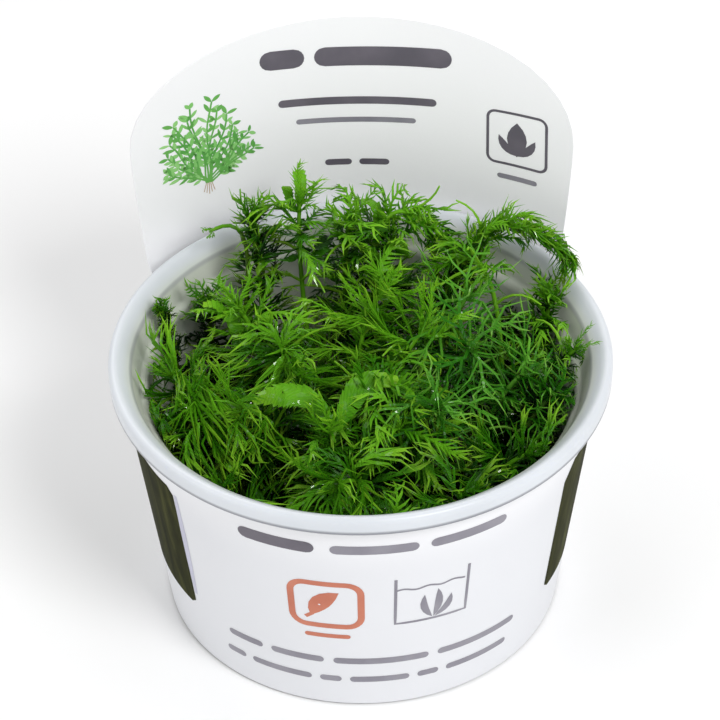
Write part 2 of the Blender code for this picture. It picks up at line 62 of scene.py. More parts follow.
# Card sleeve
SLEEVE_BOTTOM = 0.5
SLEEVE_TOP = 48.7
SLEEVE_THICKNESS = 0.45
SLEEVE_BOTTOM_RADIUS = 36.33
SLEEVE_TOP_RADIUS = 42.68
FLARE_START = 14.0
FLARE_END_ANGLE = math.radians(62)
NOTCH_HEIGHT = 40.5
NOTCH_COLUMNS = 4
ROUND_STEPS = 144
BAND_STEP = 2.4

# Back card, whose heights are measured from the top of the cup
CARD_HEIGHT = 38.8
CARD_WIDEST_HEIGHT = 18.0
CARD_HALF_WIDTH = 40.5
CARD_RIM_HALF_WIDTH = 38.85
CARD_FOOT_HALF_WIDTH = 33.0
CARD_FOOT_HEIGHT = NOTCH_HEIGHT - CUP_HEIGHT
CARD_FOOT_ROUND = 3.2
CARD_OFFSET = 45.6
CARD_LEAN = 0.07
CARD_SWAY = 0.9
CARD_SWAY_END = 20.0
CARD_CURVE_RADIUS = 65.67
CARD_CURVE_OPENING = 0.79
CARD_SHOULDER_POWER = 2.2
CARD_COLUMNS = 48

# Prints
PRINT_RADIUS = 40.0
INK_LIFT = 0.04
RIB_WAVES = 17
# How far round the cup from the middle of its front the side panels start and end, and their top.
PANEL_FRONTS = (36.6, 41.0)
PANEL_BACK = 82.0
PANEL_TOP = 43

# Gel
GEL_TOP = 14.5
GEL_LUMP = 1.6
GEL_GAP = 0.35
GEL_SIDES = 96
GEL_RINGS = (0.985, 0.96, 0.92, 0.88, 0.82, 0.76, *(0.07 * i for i in range(10, -1, -1)))

# Shoots
ROOT_GAP = 0.5
ROOT_DEPTH = 2.5
UPRIGHT_SHARE = 0.45
ROUTE_STEPS = 60
STEM_RADIUS = 0.58
STEM_THINNING = 0.35
CURL_RADIUS = 0.45
STEM_SIDES = 7
WHORL_SPACING = 4.2
WHORL_LENGTH = 1.3
EXTRA_WHORLS = 4
LOW_SPREAD = 76
TIP_SPREAD = 42
MOST_SPREAD = 95
LEAF_TURN = 18
LEAVES_IN_WHORL = 4
LEAF_LENGTH = 15.0
LEAF_HALF_WIDTH = 2.4
BLADE_ROWS = 20
BLADE_THICKNESS = 0.22
TOOTH_REACH = 0.9
BROAD_ROWS = 26
BUD_LEAVES = 4
BROAD_WIDTH = 6.2
BROAD_TINT = 0.32
TINT_SWING = 0.36
RUNNERS = 3
RUNNER_RADIUS = 0.32
ROOM_MARGIN = 0.3
SHADE_CELL = 2.4
SHADE_FALL = 4.2
SHADE_CORNER = (-48.0, -48.0, 10.0)
SHADE_CELLS = (40, 40, 30)
# How much a leaf's tint, the light on it, soft clouds and its ribs count in its shade.
SHADE_START = -0.15
TINT_SHARE = 0.38
LIGHT_SHARE = 0.64
CLOUD_SHARE = 0.28
RIB_SHARE = 0.02
# Shoots with no leaves below their main whorls.
BARE_STEMS = (1, 9)
# How light or dark each whole shoot is.
SHOOT_TINTS = (
    0.55, 0.25, 0.0, 0.1, 0.72, 0.75, 0.8, 0.85, 0.55, 0.6, 0.6, -0.1, 0.0, 0.1, 0.42, 0.75, 0.34,
    0.66, 0.0, 0.36, 0.2, 0.7, 0.5, 0.05, 0.28, 0.1, -0.05, 0.1, 0.0, 0.36, 0.05, -0.35, 0.72, -0.1,
)

LEAF_KINDS = {
    # pairs, angle from the rib, reach (mm), thickness across and upright (mm), curve forward, lift, copies
    "feather": (6, 36, 4.8, (0.36, 0.26), 20, 0.5, 6),
    "plume": (10, 29, 4.2, (0.40, 0.26), 0, 0.6, 8),
    "strand": (5, 15, 9.0, (0.29, 0.24), 12, 0.5, 6),
    "dill": (4, 40, 7.2, (0.25, 0.22), 18, 0.8, 6),
    "bud": (5, 20, 4.2, (0.42, 0.3), 12, 0.5, 3),
}
BLADE_COPIES = 5
SPIKE_BEND = 0.5
LEAF_SWAY = 1.3
# Leaves between the main ones: how long and wide they are beside those, and how many each whorl has.
FILL_LENGTH = 0.82
FILL_WIDTH = 0.9
FILL_SEED = 500
CHOICE_SEED = 1000
FILLING = {"tuft": 4, "plume": 4, "horn": 4, "clump": 2, "feather": 3, "strand": 1}
# More of them on the shoots that stand thick along the wall.
THICK_SHOOTS = {10: 5, 11: 7, 12: 4, 26: 4, 29: 4, 30: 2, 34: 3}

# Each shoot: root (x, y), the point that bends the stem, tip, leaf length, leaf width, number of whorls,
# how widely its leaves spread, and their kind.
SHOOTS = [
    ((-8, 13), (-12, 24, 54), (-10.5, 26.5, 66), 10.5, 4.4, 3, 1.15, "tuft"),
    ((-17, 12), (-18.5, 26, 52), (-18.8, 26.8, 61.5), 8.5, 4.2, 5, 0.55, "horn"),
    ((-26, 18), (-28, 20, 40), (-27.5, 19.5, 48.5), 9, 4, 4, 1.0, "feather"),
    ((-24, 15), (-14, 29, 67), (-27.3, 27, 59), 0, 0, 0, 0, "curl"),
    ((-2, 22), (-4, 28, 54), (-1, 27, 62), 11, 4.6, 6, 1.1, "feather"),
    ((3, 15), (5, 25, 50), (6, 25.5, 57), 13, 4.6, 5, 1.1, "clump"),
    ((3, 24), (-1, 31, 76), (16, 28.5, 55), 10, 4.2, 6, 0.8, "feather"),
    ((13, 18), (19, 33, 72), (37.5, 20.5, 57.5), 8.5, 4, 8, 0.35, "horn"),
    ((26, 8), (27, 16, 66), (17, 21.5, 55.5), 8, 4, 3, 1.0, "strand"),
    ((28, 3), (33, 13, 44), (35, 16, 51), 10, 4.2, 5, 1.1, "feather"),
    ((25, -2), (33, -1, 49), (38.6, -0.8, 53), 6.5, 2.6, 4, 1.4, "feather"),
    ((22, -12), (29, -9, 45), (34, -9, 49), 14, 4.4, 4, 1.0, "dill"),
    ((16, -20), (22, -21, 43), (29, -21, 46), 14, 4.4, 4, 1.0, "strand"),
    ((15, 3), (18, 2, 50), (19.4, -2, 54.5), 16, 5.2, 3, 1.5, "dill"),
    ((10, 8), (15, 11, 50), (19.5, 10.5, 56), 16, 5, 4, 1.2, "dill"),
    ((0, 2), (-3, 6, 50), (4, 11, 57), 15, 4.8, 5, 1.0, "clump"),
    ((-8, 3), (-17, 8, 56), (-13, -3, 52.5), 14, 4.8, 4, 1.0, "strand"),
    ((-15, 5), (-17, 10, 48), (-22, 11, 54), 14, 5, 4, 1.1, "clump"),
    ((0, -8), (-2, -8, 50), (5, -10, 52), 16, 5.2, 5, 1.0, "feather"),
    ((-12, -7), (-15, -8, 47), (-20, -12, 49), 15, 5, 4, 1.0, "strand"),
    ((2, -18), (2, -22, 44), (-4, -28, 46), 15, 4.8, 4, 1.0, "strand"),
    ((9, -14), (7, -17, 44), (6.5, -17.5, 49.5), 13, 4.8, 4, 1.0, "clump"),
    ((-8, -19), (-6, -18, 44), (-4.5, -18.5, 50), 14, 5, 4, 1.0, "clump"),
    ((-20, -12), (-24, -12, 43), (-29, -11, 48), 15, 4.8, 4, 1.0, "strand"),
    ((-22, -3), (-27, -3, 45), (-33.5, -2, 49), 15, 4.8, 4, 1.0, "strand"),
    ((-25, 7), (-35.4, 12, 38), (-35.8, 12.8, 51.5), 5.5, 3, 4, 0.6, "feather"),
    ((-17, -22), (-19, -24, 36), (-25, -25, 42), 14, 4.4, 3, 1.1, "strand"),
    ((10, -4), (13, -8, 49), (13, -15, 51), 15, 5, 5, 1.1, "dill"),
    ((24, 20), (25, 23, 32), (27, 21, 38), 12, 4, 3, 1.0, "feather"),
    ((20, -5), (23, -6, 47), (29, -5, 51), 15, 5, 4, 1.2, "dill"),
    ((8, -24), (7, -29, 34), (4, -33.5, 42), 14, 4.2, 3, 1.1, "feather"),
    ((21, -22), (20, -27, 34), (17, -30.5, 43), 14, 4.2, 3, 1.1, "strand"),
    ((5, -1), (5, -1, 50), (11, 3, 54), 15, 4.8, 4, 1.1, "clump"),
    ((-28, -14), (-32, -11, 36), (-34.5, -12, 45), 11, 4.2, 3, 0.8, "strand"),
]

# Single leaves whose place counts, for each shoot: the whorl they grow from, counted from the tip, then
# their middle, tip and width.
PLACED_LEAVES = {
    1: [(0, (-10.2, 27, 70.5), (-9.4, 27.2, 75), 3.2), (1, (-15, 26, 66), (-18.3, 25, 64), 5)],
    2: [(0, (-20.8, 26.8, 65), (-22.6, 26.4, 68.5), 3.8), (0, (-17.6, 27, 65), (-16.2, 26.4, 68.3), 3.8)],
    5: [(0, (1.2, 27.6, 65.5), (3.9, 28, 68.5), 2.6)],
    8: [(4, (28.5, 25, 57.5), (29.5, 24.3, 54.5), 3.6), (2, (36, 21.6, 59), (41.5, 18, 56.4), 3.8)],
    11: [(0, (40, 0.6, 55.4), (41.6, 2, 56.8), 1.2), (0, (40.6, -1.6, 54.6), (43, -2, 55), 1.2)],
    15: [(0, (13, 7, 56.5), (7.5, 3.9, 54), 6), (1, (13.5, 3, 54.5), (7.8, -6.6, 50.5), 6)],
    22: [(0, (12.7, -23, 51.2), (19, -25.8, 49), 5)],
    23: [(0, (-10.7, -12.5, 54), (-19, -13, 52), 6.4), (0, (-1, -14.2, 54), (6.6, -10.6, 54.6), 6.8)],
    24: [(0, (-26, -15, 47.5), (-22.4, -22, 43.5), 5.6)],
    25: [(0, (-30, -8.5, 49.5), (-25.5, -18, 45.5), 5.6), (1, (-27.5, -7, 49.8), (-20.6, -16, 47), 5.6)],
}

# The way that placed leaves face.
FACING = Vector((0, -0.6, 0.8))

# The point that the lights are turned to, and the camera, in metres.
LIT_POINT = Vector((0, 0, 0.05))
CAMERA_ELEVATION = math.radians(39.73)
CAMERA_DISTANCE = 0.6
CAMERA_TARGET = Vector((-0.00009, 0, 0.0504))
CAMERA_ROLL = math.radians(-0.94)


# Modelling tools


def nothing_selected():
    if bpy.context.mode != "OBJECT":
        bpy.ops.object.mode_set(mode="OBJECT")
    bpy.ops.object.select_all(action="DESELECT")


def take(obj):
    nothing_selected()
    obj.select_set(True)
    bpy.context.view_layer.objects.active = obj


def add_object(name, data):
    obj = bpy.data.objects.new(name, data)
    bpy.context.scene.collection.objects.link(obj)
    return obj


def lay_grid(columns, rows):
    """A flat sheet from -0.5 to 0.5 both ways."""
    nothing_selected()
    bpy.ops.mesh.primitive_grid_add(x_subdivisions=columns, y_subdivisions=rows, size=1, location=(0, 0, 0))
    return bpy.context.active_object


def thicken(obj, name, thickness, offset):
    """Gives a sheet its thickness with a modifier."""
    solidify = obj.modifiers.new(name, "SOLIDIFY")
    solidify.thickness = thickness
    solidify.offset = offset
    take(obj)
    bpy.ops.object.modifier_apply(modifier=solidify.name)


def finish_piece(obj, name, material, smooth_angle, node=None):
    """Names a piece made in millimetres, puts its place and size into its mesh, and hands it over."""
    take(obj)
    bpy.ops.object.transform_apply(location=True, rotation=True, scale=True)
    obj.data.transform(Matrix.Scale(MM, 4))
    obj.name = name
    obj.data.name = name
    obj.data.materials.clear()
    obj.data.materials.append(material)
    bpy.ops.object.shade_smooth_by_angle(angle=math.radians(smooth_angle))
    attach(obj, "root")
    if node:
        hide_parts(node)
    return obj


def soften(points):
    """A profile whose corners (across, up, rounding) are rounded off."""
    result = [points[0][:2]]
    for before, here, after in zip(points, points[1:], points[2:]):
        corner = Vector(here[:2])
        back, on = Vector(before[:2]) - corner, Vector(after[:2]) - corner
        if not here[2]:
            result.append(tuple(corner))
            continue
        start = corner + back.normalized() * min(here[2], 0.48 * back.length)
        end = corner + on.normalized() * min(here[2], 0.48 * on.length)
        for t in (0, 0.25, 0.5, 0.75, 1):
            result.append(tuple(curve_at(start, corner, end, t)))
    result.append(points[-1][:2])
    return result


def turn_profile(profile, sides):
    """A point drawn out along the profile, then spun round the cup's axis."""
    nothing_selected()
    bpy.ops.mesh.primitive_plane_add(size=1, location=(0, 0, 0))
    obj = bpy.context.active_object
    bpy.ops.object.mode_set(mode="EDIT")
    bpy.ops.mesh.select_all(action="SELECT")
    bpy.ops.mesh.merge(type="CENTER")
    bpy.ops.transform.translate(value=(profile[0][0], 0, profile[0][1]))
    for here, after in zip(profile, profile[1:]):
        step = (after[0] - here[0], 0, after[1] - here[1])
        bpy.ops.mesh.extrude_vertices_move(TRANSFORM_OT_translate={"value": step})
    bpy.ops.mesh.select_all(action="SELECT")
    bpy.ops.mesh.spin(steps=sides, angle=math.tau, center=(0, 0, 0), axis=(0, 0, 1))
    bpy.ops.mesh.select_all(action="SELECT")
    bpy.ops.mesh.remove_doubles(threshold=1e-4)
    bpy.ops.mesh.normals_make_consistent(inside=False)
    bpy.ops.object.mode_set(mode="OBJECT")
    return obj


def surface_of(obj, scale=1.0):
    """The surface of an object, in millimetres, for laying other things on it."""
    spots = [vert.co * scale for vert in obj.data.vertices]
    return BVHTree.FromPolygons(spots, [tuple(face.vertices) for face in obj.data.polygons])


def curve_at(start, pull, end, t):
    """The point at t on the curve from start to end that is pulled towards a third point."""
    return start.lerp(pull, t).lerp(pull.lerp(end, t), t)


def ease(t):
    """0 below 0, 1 above 1, and a smooth step between."""
    t = min(max(t, 0.0), 1.0)
    return t * t * (3 - 2 * t)


# Materials


def new_material(name):
    """A material with its node tree, its shader and a maker of nodes."""
    material = bpy.data.materials.new(name)
    material.use_nodes = True
    return material, material.node_tree, material.node_tree.nodes["Principled BSDF"]


def add_node(tree, kind, **settings):
    node = tree.nodes.new(kind)
    for key, value in settings.items():
        if key in node.inputs:
            node.inputs[key].default_value = value
        else:
            setattr(node, key, value)
    return node


def ramp(tree, value, stops):
    node = tree.nodes.new("ShaderNodeValToRGB")
    elements = node.color_ramp.elements
    while len(elements) < len(stops):
        elements.new(0.5)
    for element, (place, colour) in zip(elements, stops):
        element.position = place
        element.color = (*colour, 1)
    tree.links.new(value, node.inputs["Fac"])
    return node.outputs["Color"]


def blend(tree, share, low, high, how="MIX"):
    """Mixes two colours, each a colour or a socket, by a number or a socket."""
    node = add_node(tree, "ShaderNodeMix", data_type="RGBA", blend_type=how)
    for socket, value in ((node.inputs[0], share), (node.inputs[6], low), (node.inputs[7], high)):
        if isinstance(value, bpy.types.NodeSocket):
            tree.links.new(value, socket)
        else:
            socket.default_value = value if isinstance(value, float) else (*value, 1)
    return node.outputs[2]


def spread_out(tree, value, low, high, start=0.0, end=1.0):
    """A value between start and end, drawn out to run from low to high."""
    node = add_node(tree, "ShaderNodeMapRange", interpolation_type="SMOOTHSTEP")
    tree.links.new(value, node.inputs["Value"])
    for key, number in (("From Min", start), ("From Max", end), ("To Min", low), ("To Max", high)):
        node.inputs[key].default_value = number
    return node.outputs["Result"]


def make_grain_group():
    """Cloudy patches and a fine uneven surface, shared by the plastic, card, ink and gel."""
    group = bpy.data.node_groups.new("patches and grain", "ShaderNodeTree")
    face = group.interface
    for name, default in (("Patch Scale", 60.0), ("Grain Scale", 900.0), ("Grain Depth", 0.1)):
        face.new_socket(name=name, in_out="INPUT", socket_type="NodeSocketFloat").default_value = default
    face.new_socket(name="Patches", in_out="OUTPUT", socket_type="NodeSocketFloat")
    face.new_socket(name="Grain", in_out="OUTPUT", socket_type="NodeSocketFloat")
    face.new_socket(name="Normal", in_out="OUTPUT", socket_type="NodeSocketVector")
    given, gone = group.nodes.new("NodeGroupInput"), group.nodes.new("NodeGroupOutput")
    where = group.nodes.new("ShaderNodeTexCoord")
    patches = add_node(group, "ShaderNodeTexNoise", Detail=3.0)
    grain = add_node(group, "ShaderNodeTexNoise", Detail=4.0)
    bump = add_node(group, "ShaderNodeBump", Distance=0.0002)
    link = group.links.new
    link(where.outputs["Object"], patches.inputs["Vector"])
    link(where.outputs["Object"], grain.inputs["Vector"])
    link(given.outputs["Patch Scale"], patches.inputs["Scale"])
    link(given.outputs["Grain Scale"], grain.inputs["Scale"])
    link(given.outputs["Grain Depth"], bump.inputs["Strength"])
    link(grain.outputs["Fac"], bump.inputs["Height"])
    link(patches.outputs["Fac"], gone.inputs["Patches"])
    link(grain.outputs["Fac"], gone.inputs["Grain"])
    link(bump.outputs["Normal"], gone.inputs["Normal"])
    return group


def add_grain(tree, patch_scale, grain_scale, depth):
    node = tree.nodes.new("ShaderNodeGroup")
    node.node_tree = GRAIN
    node.inputs["Patch Scale"].default_value = patch_scale
    node.inputs["Grain Scale"].default_value = grain_scale
    node.inputs["Grain Depth"].default_value = depth
    return node.outputs


def patchy(tree, grain, low, high):
    """A colour that changes softly in patches."""
    return ramp(tree, grain["Patches"], [(0.3, low), (0.7, high)])


def roughen(tree, shader, grain, low, high):
    """Uneven gloss and a fine uneven surface."""
    tree.links.new(spread_out(tree, grain["Grain"], low, high), shader.inputs["Roughness"])
    tree.links.new(grain["Normal"], shader.inputs["Normal"])


def let_light_in(shader, weight, reach, scale):
    """Lets light pass a little way under the surface."""
    shader.inputs["Subsurface Weight"].default_value = weight
    shader.inputs["Subsurface Radius"].default_value = reach
    shader.inputs["Subsurface Scale"].default_value = scale


def find_place(tree):
    """The place on the piece, in metres, and its height."""
    where = tree.nodes.new("ShaderNodeTexCoord").outputs["Object"]
    axes = tree.nodes.new("ShaderNodeSeparateXYZ")
    tree.links.new(where, axes.inputs["Vector"])
    return where, axes.outputs["Z"]


def make_cup_plastic():
    """Milky plastic: bluish at the rim, greener within, with painted shade along the lid seat and under the
    rim's lower edge.
    """
    material, tree, shader = new_material("milky plastic")
    grain = add_grain(tree, 45.0, 700.0, 0.05)
    rim = patchy(tree, grain, (0.64, 0.67, 0.71), (0.70, 0.73, 0.77))
    within = patchy(tree, grain, (0.58, 0.62, 0.54), (0.68, 0.70, 0.62))
    # Painted shade: a dark grey-blue for the shade in the lid seat's groove and the shadow under the rim's
    # edge.
    painted_shade = patchy(tree, grain, (0.24, 0.25, 0.28), (0.29, 0.30, 0.33))
    where, height = find_place(tree)
    flat = add_node(tree, "ShaderNodeVectorMath", operation="MULTIPLY")
    reach = add_node(tree, "ShaderNodeVectorMath", operation="LENGTH")
    flat.inputs[1].default_value = (1, 1, 0)
    tree.links.new(where, flat.inputs[0])
    tree.links.new(flat.outputs["Vector"], reach.inputs[0])
    radius = reach.outputs["Value"]

    def where_both(first, second):
        node = add_node(tree, "ShaderNodeMath", operation="MULTIPLY")
        tree.links.new(first, node.inputs[0])
        tree.links.new(second, node.inputs[1])
        return node.outputs[0]

    colour = blend(tree, spread_out(tree, radius, 0.0, 1.0, 0.0404, 0.0428), within, rim)
    # A thin ring of painted shade along the lid seat, standing in for the dark line of its groove.
    seat_outwards = spread_out(tree, radius, 0.0, 0.5, 0.0407, 0.0410)
    seat_inwards = spread_out(tree, radius, 1.0, 0.0, 0.0411, 0.0415)
    colour = blend(tree, where_both(seat_outwards, seat_inwards), colour, painted_shade)
    # Painted shadow along the lower edge of the rim's skirt, where it overhangs the sleeve.
    rim_outwards = spread_out(tree, radius, 0.0, 1.0, 0.0430, 0.0436)
    rim_downwards = spread_out(tree, height, 1.0, 0.0, 0.0495, 0.0502)
    colour = blend(tree, where_both(rim_outwards, rim_downwards), colour, painted_shade)
    tree.links.new(colour, shader.inputs["Base Color"])
    roughen(tree, shader, grain, 0.26, 0.38)
    let_light_in(shader, 0.3, (1.0, 1.0, 0.9), 0.001)
    return material


def make_sleeve_card():
    """Smooth white card, greyer round the cup as painted shade and whiter where it stands up as painted
    light.
    """
    material, tree, shader = new_material("white sleeve card")
    grain = add_grain(tree, 30.0, 1600.0, 0.08)
    # Painted shade and light: one white card, greyer on the band round the cup and whiter on the card above,
    # by height.
    band = patchy(tree, grain, (0.74, 0.75, 0.78), (0.77, 0.78, 0.81))
    card = patchy(tree, grain, (0.93, 0.93, 0.95), (0.95, 0.95, 0.97))
    _, height = find_place(tree)
    rise = spread_out(tree, height, 0.0, 1.0, 0.035, 0.055)
    tree.links.new(blend(tree, rise, band, card), shader.inputs["Base Color"])
    roughen(tree, shader, grain, 0.38, 0.52)
    return material


def make_ink_and_highlight(name, dark, light):
    """Printed ink, a little uneven, on the card's own surface; the same makes the painted highlight on the
    left panel's edge.
    """
    material, tree, shader = new_material(name)
    grain = add_grain(tree, 140.0, 1600.0, 0.08)
    colour = ramp(tree, grain["Patches"], [(0.35, dark), (0.65, light)])
    tree.links.new(colour, shader.inputs["Base Color"])
    roughen(tree, shader, grain, 0.34, 0.46)
    return material


def make_panel_ink():
    """The dark olive side panels, with soft upright streaks like water weeds."""
    material, tree, shader = new_material("olive panel ink")
    where = tree.nodes.new("ShaderNodeTexCoord")
    squeeze = add_node(tree, "ShaderNodeMapping")
    squeeze.inputs["Scale"].default_value = (1, 1, 0.12)
    tree.links.new(where.outputs["Object"], squeeze.inputs["Vector"])
    streaks = add_node(tree, "ShaderNodeTexNoise", Scale=320.0, Detail=5.0, Roughness=0.6, Distortion=0.4)
    tree.links.new(squeeze.outputs["Vector"], streaks.inputs["Vector"])
    stops = [(0.3, (0.012, 0.013, 0.003)), (0.5, (0.030, 0.032, 0.008)), (0.66, (0.062, 0.066, 0.018)),
             (0.8, (0.12, 0.13, 0.035))]
    tree.links.new(ramp(tree, streaks.outputs["Fac"], stops), shader.inputs["Base Color"])
    shader.inputs["Roughness"].default_value = 0.6
    shader.inputs["Specular IOR Level"].default_value = 0.03
    return material


def make_gel_material():
    """Pale, damp culture gel with darker specks."""
    material, tree, shader = new_material("pale gel")
    grain = add_grain(tree, 220.0, 1200.0, 0.35)
    stops = [(0.3, (0.20, 0.15, 0.09)), (0.48, (0.42, 0.35, 0.24)), (0.75, (0.62, 0.55, 0.43))]
    tree.links.new(ramp(tree, grain["Patches"], stops), shader.inputs["Base Color"])
    roughen(tree, shader, grain, 0.15, 0.3)
    let_light_in(shader, 0.3, (1.0, 0.8, 0.5), 0.002)
    return material


def make_leaf_group():
    """What all leaves share.

    The attribute "tone" holds a leaf's tint, the way along it, how open to the light it lies and, as alpha,
    the way across it.
    """
    group = bpy.data.node_groups.new("leaf shading", "ShaderNodeTree")
    for name in ("Shade", "Tip", "Wetness", "Drops"):
        group.interface.new_socket(name=name, in_out="OUTPUT", socket_type="NodeSocketFloat")
    group.interface.new_socket(name="Normal", in_out="OUTPUT", socket_type="NodeSocketVector")
    gone = group.nodes.new("NodeGroupOutput")
    tone = add_node(group, "ShaderNodeAttribute", attribute_name="tone")
    parts = group.nodes.new("ShaderNodeSeparateColor")
    where = group.nodes.new("ShaderNodeTexCoord")
    cloud = add_node(group, "ShaderNodeTexNoise", Scale=380.0, Detail=3.0)
    link = group.links.new
    link(tone.outputs["Color"], parts.inputs["Color"])
    link(where.outputs["Object"], cloud.inputs["Vector"])

    def sum_up(value, share, before):
        """The value times a share, added to what came before."""
        node = add_node(group, "ShaderNodeMath", operation="MULTIPLY_ADD")
        link(value, node.inputs[0])
        node.inputs[1].default_value = share
        if isinstance(before, float):
            node.inputs[2].default_value = before
        else:
            link(before, node.inputs[2])
        return node.outputs[0]

    from_rib = add_node(group, "ShaderNodeMath", operation="ABSOLUTE")
    link(sum_up(tone.outputs["Alpha"], 2.0, -1.0), from_rib.inputs[0])
    wave = add_node(group, "ShaderNodeMath", operation="SINE")
    slanted = sum_up(from_rib.outputs[0], -RIB_WAVES * 0.28 * math.tau, 0.0)
    link(sum_up(parts.outputs["Green"], RIB_WAVES * math.tau, slanted), wave.inputs[0])
    shade = sum_up(parts.outputs["Red"], TINT_SHARE, SHADE_START)
    shade = sum_up(parts.outputs["Blue"], LIGHT_SHARE, shade)
    shade = sum_up(cloud.outputs["Fac"], CLOUD_SHARE, shade)
    link(sum_up(wave.outputs[0], RIB_SHARE, shade), gone.inputs["Shade"])
    link(spread_out(group, parts.outputs["Green"], 0.0, 0.6, 0.7, 1.0), gone.inputs["Tip"])
    link(spread_out(group, cloud.outputs["Fac"], 0.3, 0.5, 0.3, 0.7), gone.inputs["Wetness"])
    drops = add_node(group, "ShaderNodeTexNoise", Scale=900.0, Detail=1.0)
    link(where.outputs["Object"], drops.inputs["Vector"])
    link(spread_out(group, drops.outputs["Fac"], 0.0, 1.0, 0.56, 0.64), gone.inputs["Drops"])
    bump = add_node(group, "ShaderNodeBump", Strength=0.5, Distance=0.00012)
    link(sum_up(wave.outputs[0], 0.5, cloud.outputs["Fac"]), bump.inputs["Height"])
    link(bump.outputs["Normal"], gone.inputs["Normal"])
    return group


def make_leaf_green(name, dark, middle, bright, tip):
    """Wet green leaf, darker where little light reaches it, with small drops on it."""
    material, tree, shader = new_material(name)
    shared = tree.nodes.new("ShaderNodeGroup")
    shared.node_tree = LEAF_SHADING
    colour = ramp(tree, shared.outputs["Shade"], [(0.22, dark), (0.52, middle), (0.86, bright)])
    colour = blend(tree, shared.outputs["Tip"], colour, tip)
    tree.links.new(colour, shader.inputs["Base Color"])
    tree.links.new(shared.outputs["Wetness"], shader.inputs["Roughness"])
    tree.links.new(shared.outputs["Normal"], shader.inputs["Normal"])
    let_light_in(shader, 0.15, (0.5, 1.0, 0.2), 0.0006)
    tree.links.new(shared.outputs["Drops"], shader.inputs["Coat Weight"])
    shader.inputs["Specular IOR Level"].default_value = 0.08
    shader.inputs["Coat Roughness"].default_value = 0.05
    return material


def make_floor_material():
    material, tree, shader = new_material("pale studio floor")
    grain = add_grain(tree, 4.0, 300.0, 0.0)
    colour = patchy(tree, grain, (0.93, 0.93, 0.93), (0.95, 0.95, 0.95))
    tree.links.new(colour, shader.inputs["Base Color"])
    shader.inputs["Roughness"].default_value = 0.8
    return material


# Cup


def wall_inner_radius(height):
    return LID_SEAT_RADIUS - 2.1 - WALL_TAPER * (LEDGE_HEIGHT - height)


def make_cup():
    """The cup, drawn up the outside, over the rim and down the inside. Numbers: across, up, rounding."""
    foot = wall_inner_radius(0) + WALL_THICKNESS
    shoulder = wall_inner_radius(LEDGE_HEIGHT - 1) + WALL_THICKNESS
    floor, ledge, top = FLOOR_THICKNESS, LEDGE_HEIGHT, CUP_HEIGHT
    profile = [
        (0, 0.7, 0), (foot - 2.6, 0.7, 0.3), (foot - 2.1, 0, 0.3), (foot - 0.5, 0, 0.7),
        (foot + 0.15, 1.5, 0.6), (shoulder, ledge - 1, 0.6), (41.55, ledge + 0.4, 0.6), (41.85, 49.1, 0.5),
        (42.5, top - 2.2, 0.3), (43.6, top - 1.1, 0.3), (44.15, top - 1.2, 0.3), (44.15, RIM_EDGE, 0.2),
        (44.9, RIM_EDGE, 0.2), (RIM_RADIUS, top - 0.6, 0.7), (44.35, top, 0.5), (43.5, top - 0.15, 0.5),
        (42.8, top - 0.65, 0.3), (41.0, top - 2.3, 0.5), (39.55, ledge + 0.7, 0.5),
        (38.75, ledge + 0.15, 0.5), (38.25, ledge - 0.6, 0.6),
        (wall_inner_radius(floor + 1.6), floor + 1.6, 1.5), (wall_inner_radius(floor) - 1.5, floor, 1.0),
        (0, floor, 0),
    ]
    cup = turn_profile(soften(profile), CUP_SIDES)
    return finish_piece(cup, "milky_cup", CUP_PLASTIC, 40, "cup")


# Card sleeve


def card_half_width(height):
    """Half the width of the back card at a height above the rim."""
    if height > CARD_WIDEST_HEIGHT:
        share = (height - CARD_WIDEST_HEIGHT) / (CARD_HEIGHT - CARD_WIDEST_HEIGHT)
        return CARD_HALF_WIDTH * math.sqrt(max(0.0, 1 - share**CARD_SHOULDER_POWER))
    share = (CARD_WIDEST_HEIGHT - height) / CARD_WIDEST_HEIGHT
    half = CARD_HALF_WIDTH - (CARD_HALF_WIDTH - CARD_RIM_HALF_WIDTH) * share**1.3
    rise = min(1.0, (height - CARD_FOOT_HEIGHT) / CARD_FOOT_ROUND)
    return CARD_FOOT_HALF_WIDTH + (half - CARD_FOOT_HALF_WIDTH) * math.sqrt(1 - (1 - rise) ** 2)


def card_sway(height):
    """How far the card stands to the left, which fades out at its foot and its top."""
    rise = ease((height - CARD_FOOT_HEIGHT) / 8)
    return CARD_SWAY * rise * (1 - ease((height - CARD_SWAY_END) / (CARD_HEIGHT - CARD_SWAY_END)))


def card_front(across, height):
    """A point on the card's front face, across from its middle and up from the rim."""
    radius = CARD_CURVE_RADIUS + CARD_CURVE_OPENING * height
    back = CARD_OFFSET + CARD_LEAN * height
    depth = back - radius + math.sqrt(radius**2 - across**2)
    return Vector((across - card_sway(height), depth, CUP_HEIGHT + height))


def card_distance(angle, height):
    """How far the card's front face is from the cup's axis, at an angle from the back."""
    radius = CARD_CURVE_RADIUS + CARD_CURVE_OPENING * height
    centre = CARD_OFFSET + CARD_LEAN * height - radius
    return centre * math.cos(angle) + math.sqrt(radius**2 - (centre * math.sin(angle)) ** 2)


def cone_radius(height):
    """The radius of the band's inner face where it only follows the cup."""
    share = height / SLEEVE_TOP
    return SLEEVE_BOTTOM_RADIUS + (SLEEVE_TOP_RADIUS - SLEEVE_BOTTOM_RADIUS) * share - SLEEVE_THICKNESS


def flare(height):
    """How far the back of the band has left the cup for the card, from 0 to 1."""
    return ease((height - FLARE_START) / (SLEEVE_TOP - FLARE_START))


def card_point(across, height):
    """A point on the card's front face, which bends in to meet the band below the rim."""
    point = card_front(across, height)
    distance = math.hypot(point.x, point.y)
    cone = cone_radius(CUP_HEIGHT + height)
    share = (cone + flare(CUP_HEIGHT + height) * (distance - cone)) / distance
    return Vector((point.x * share, point.y * share, point.z))


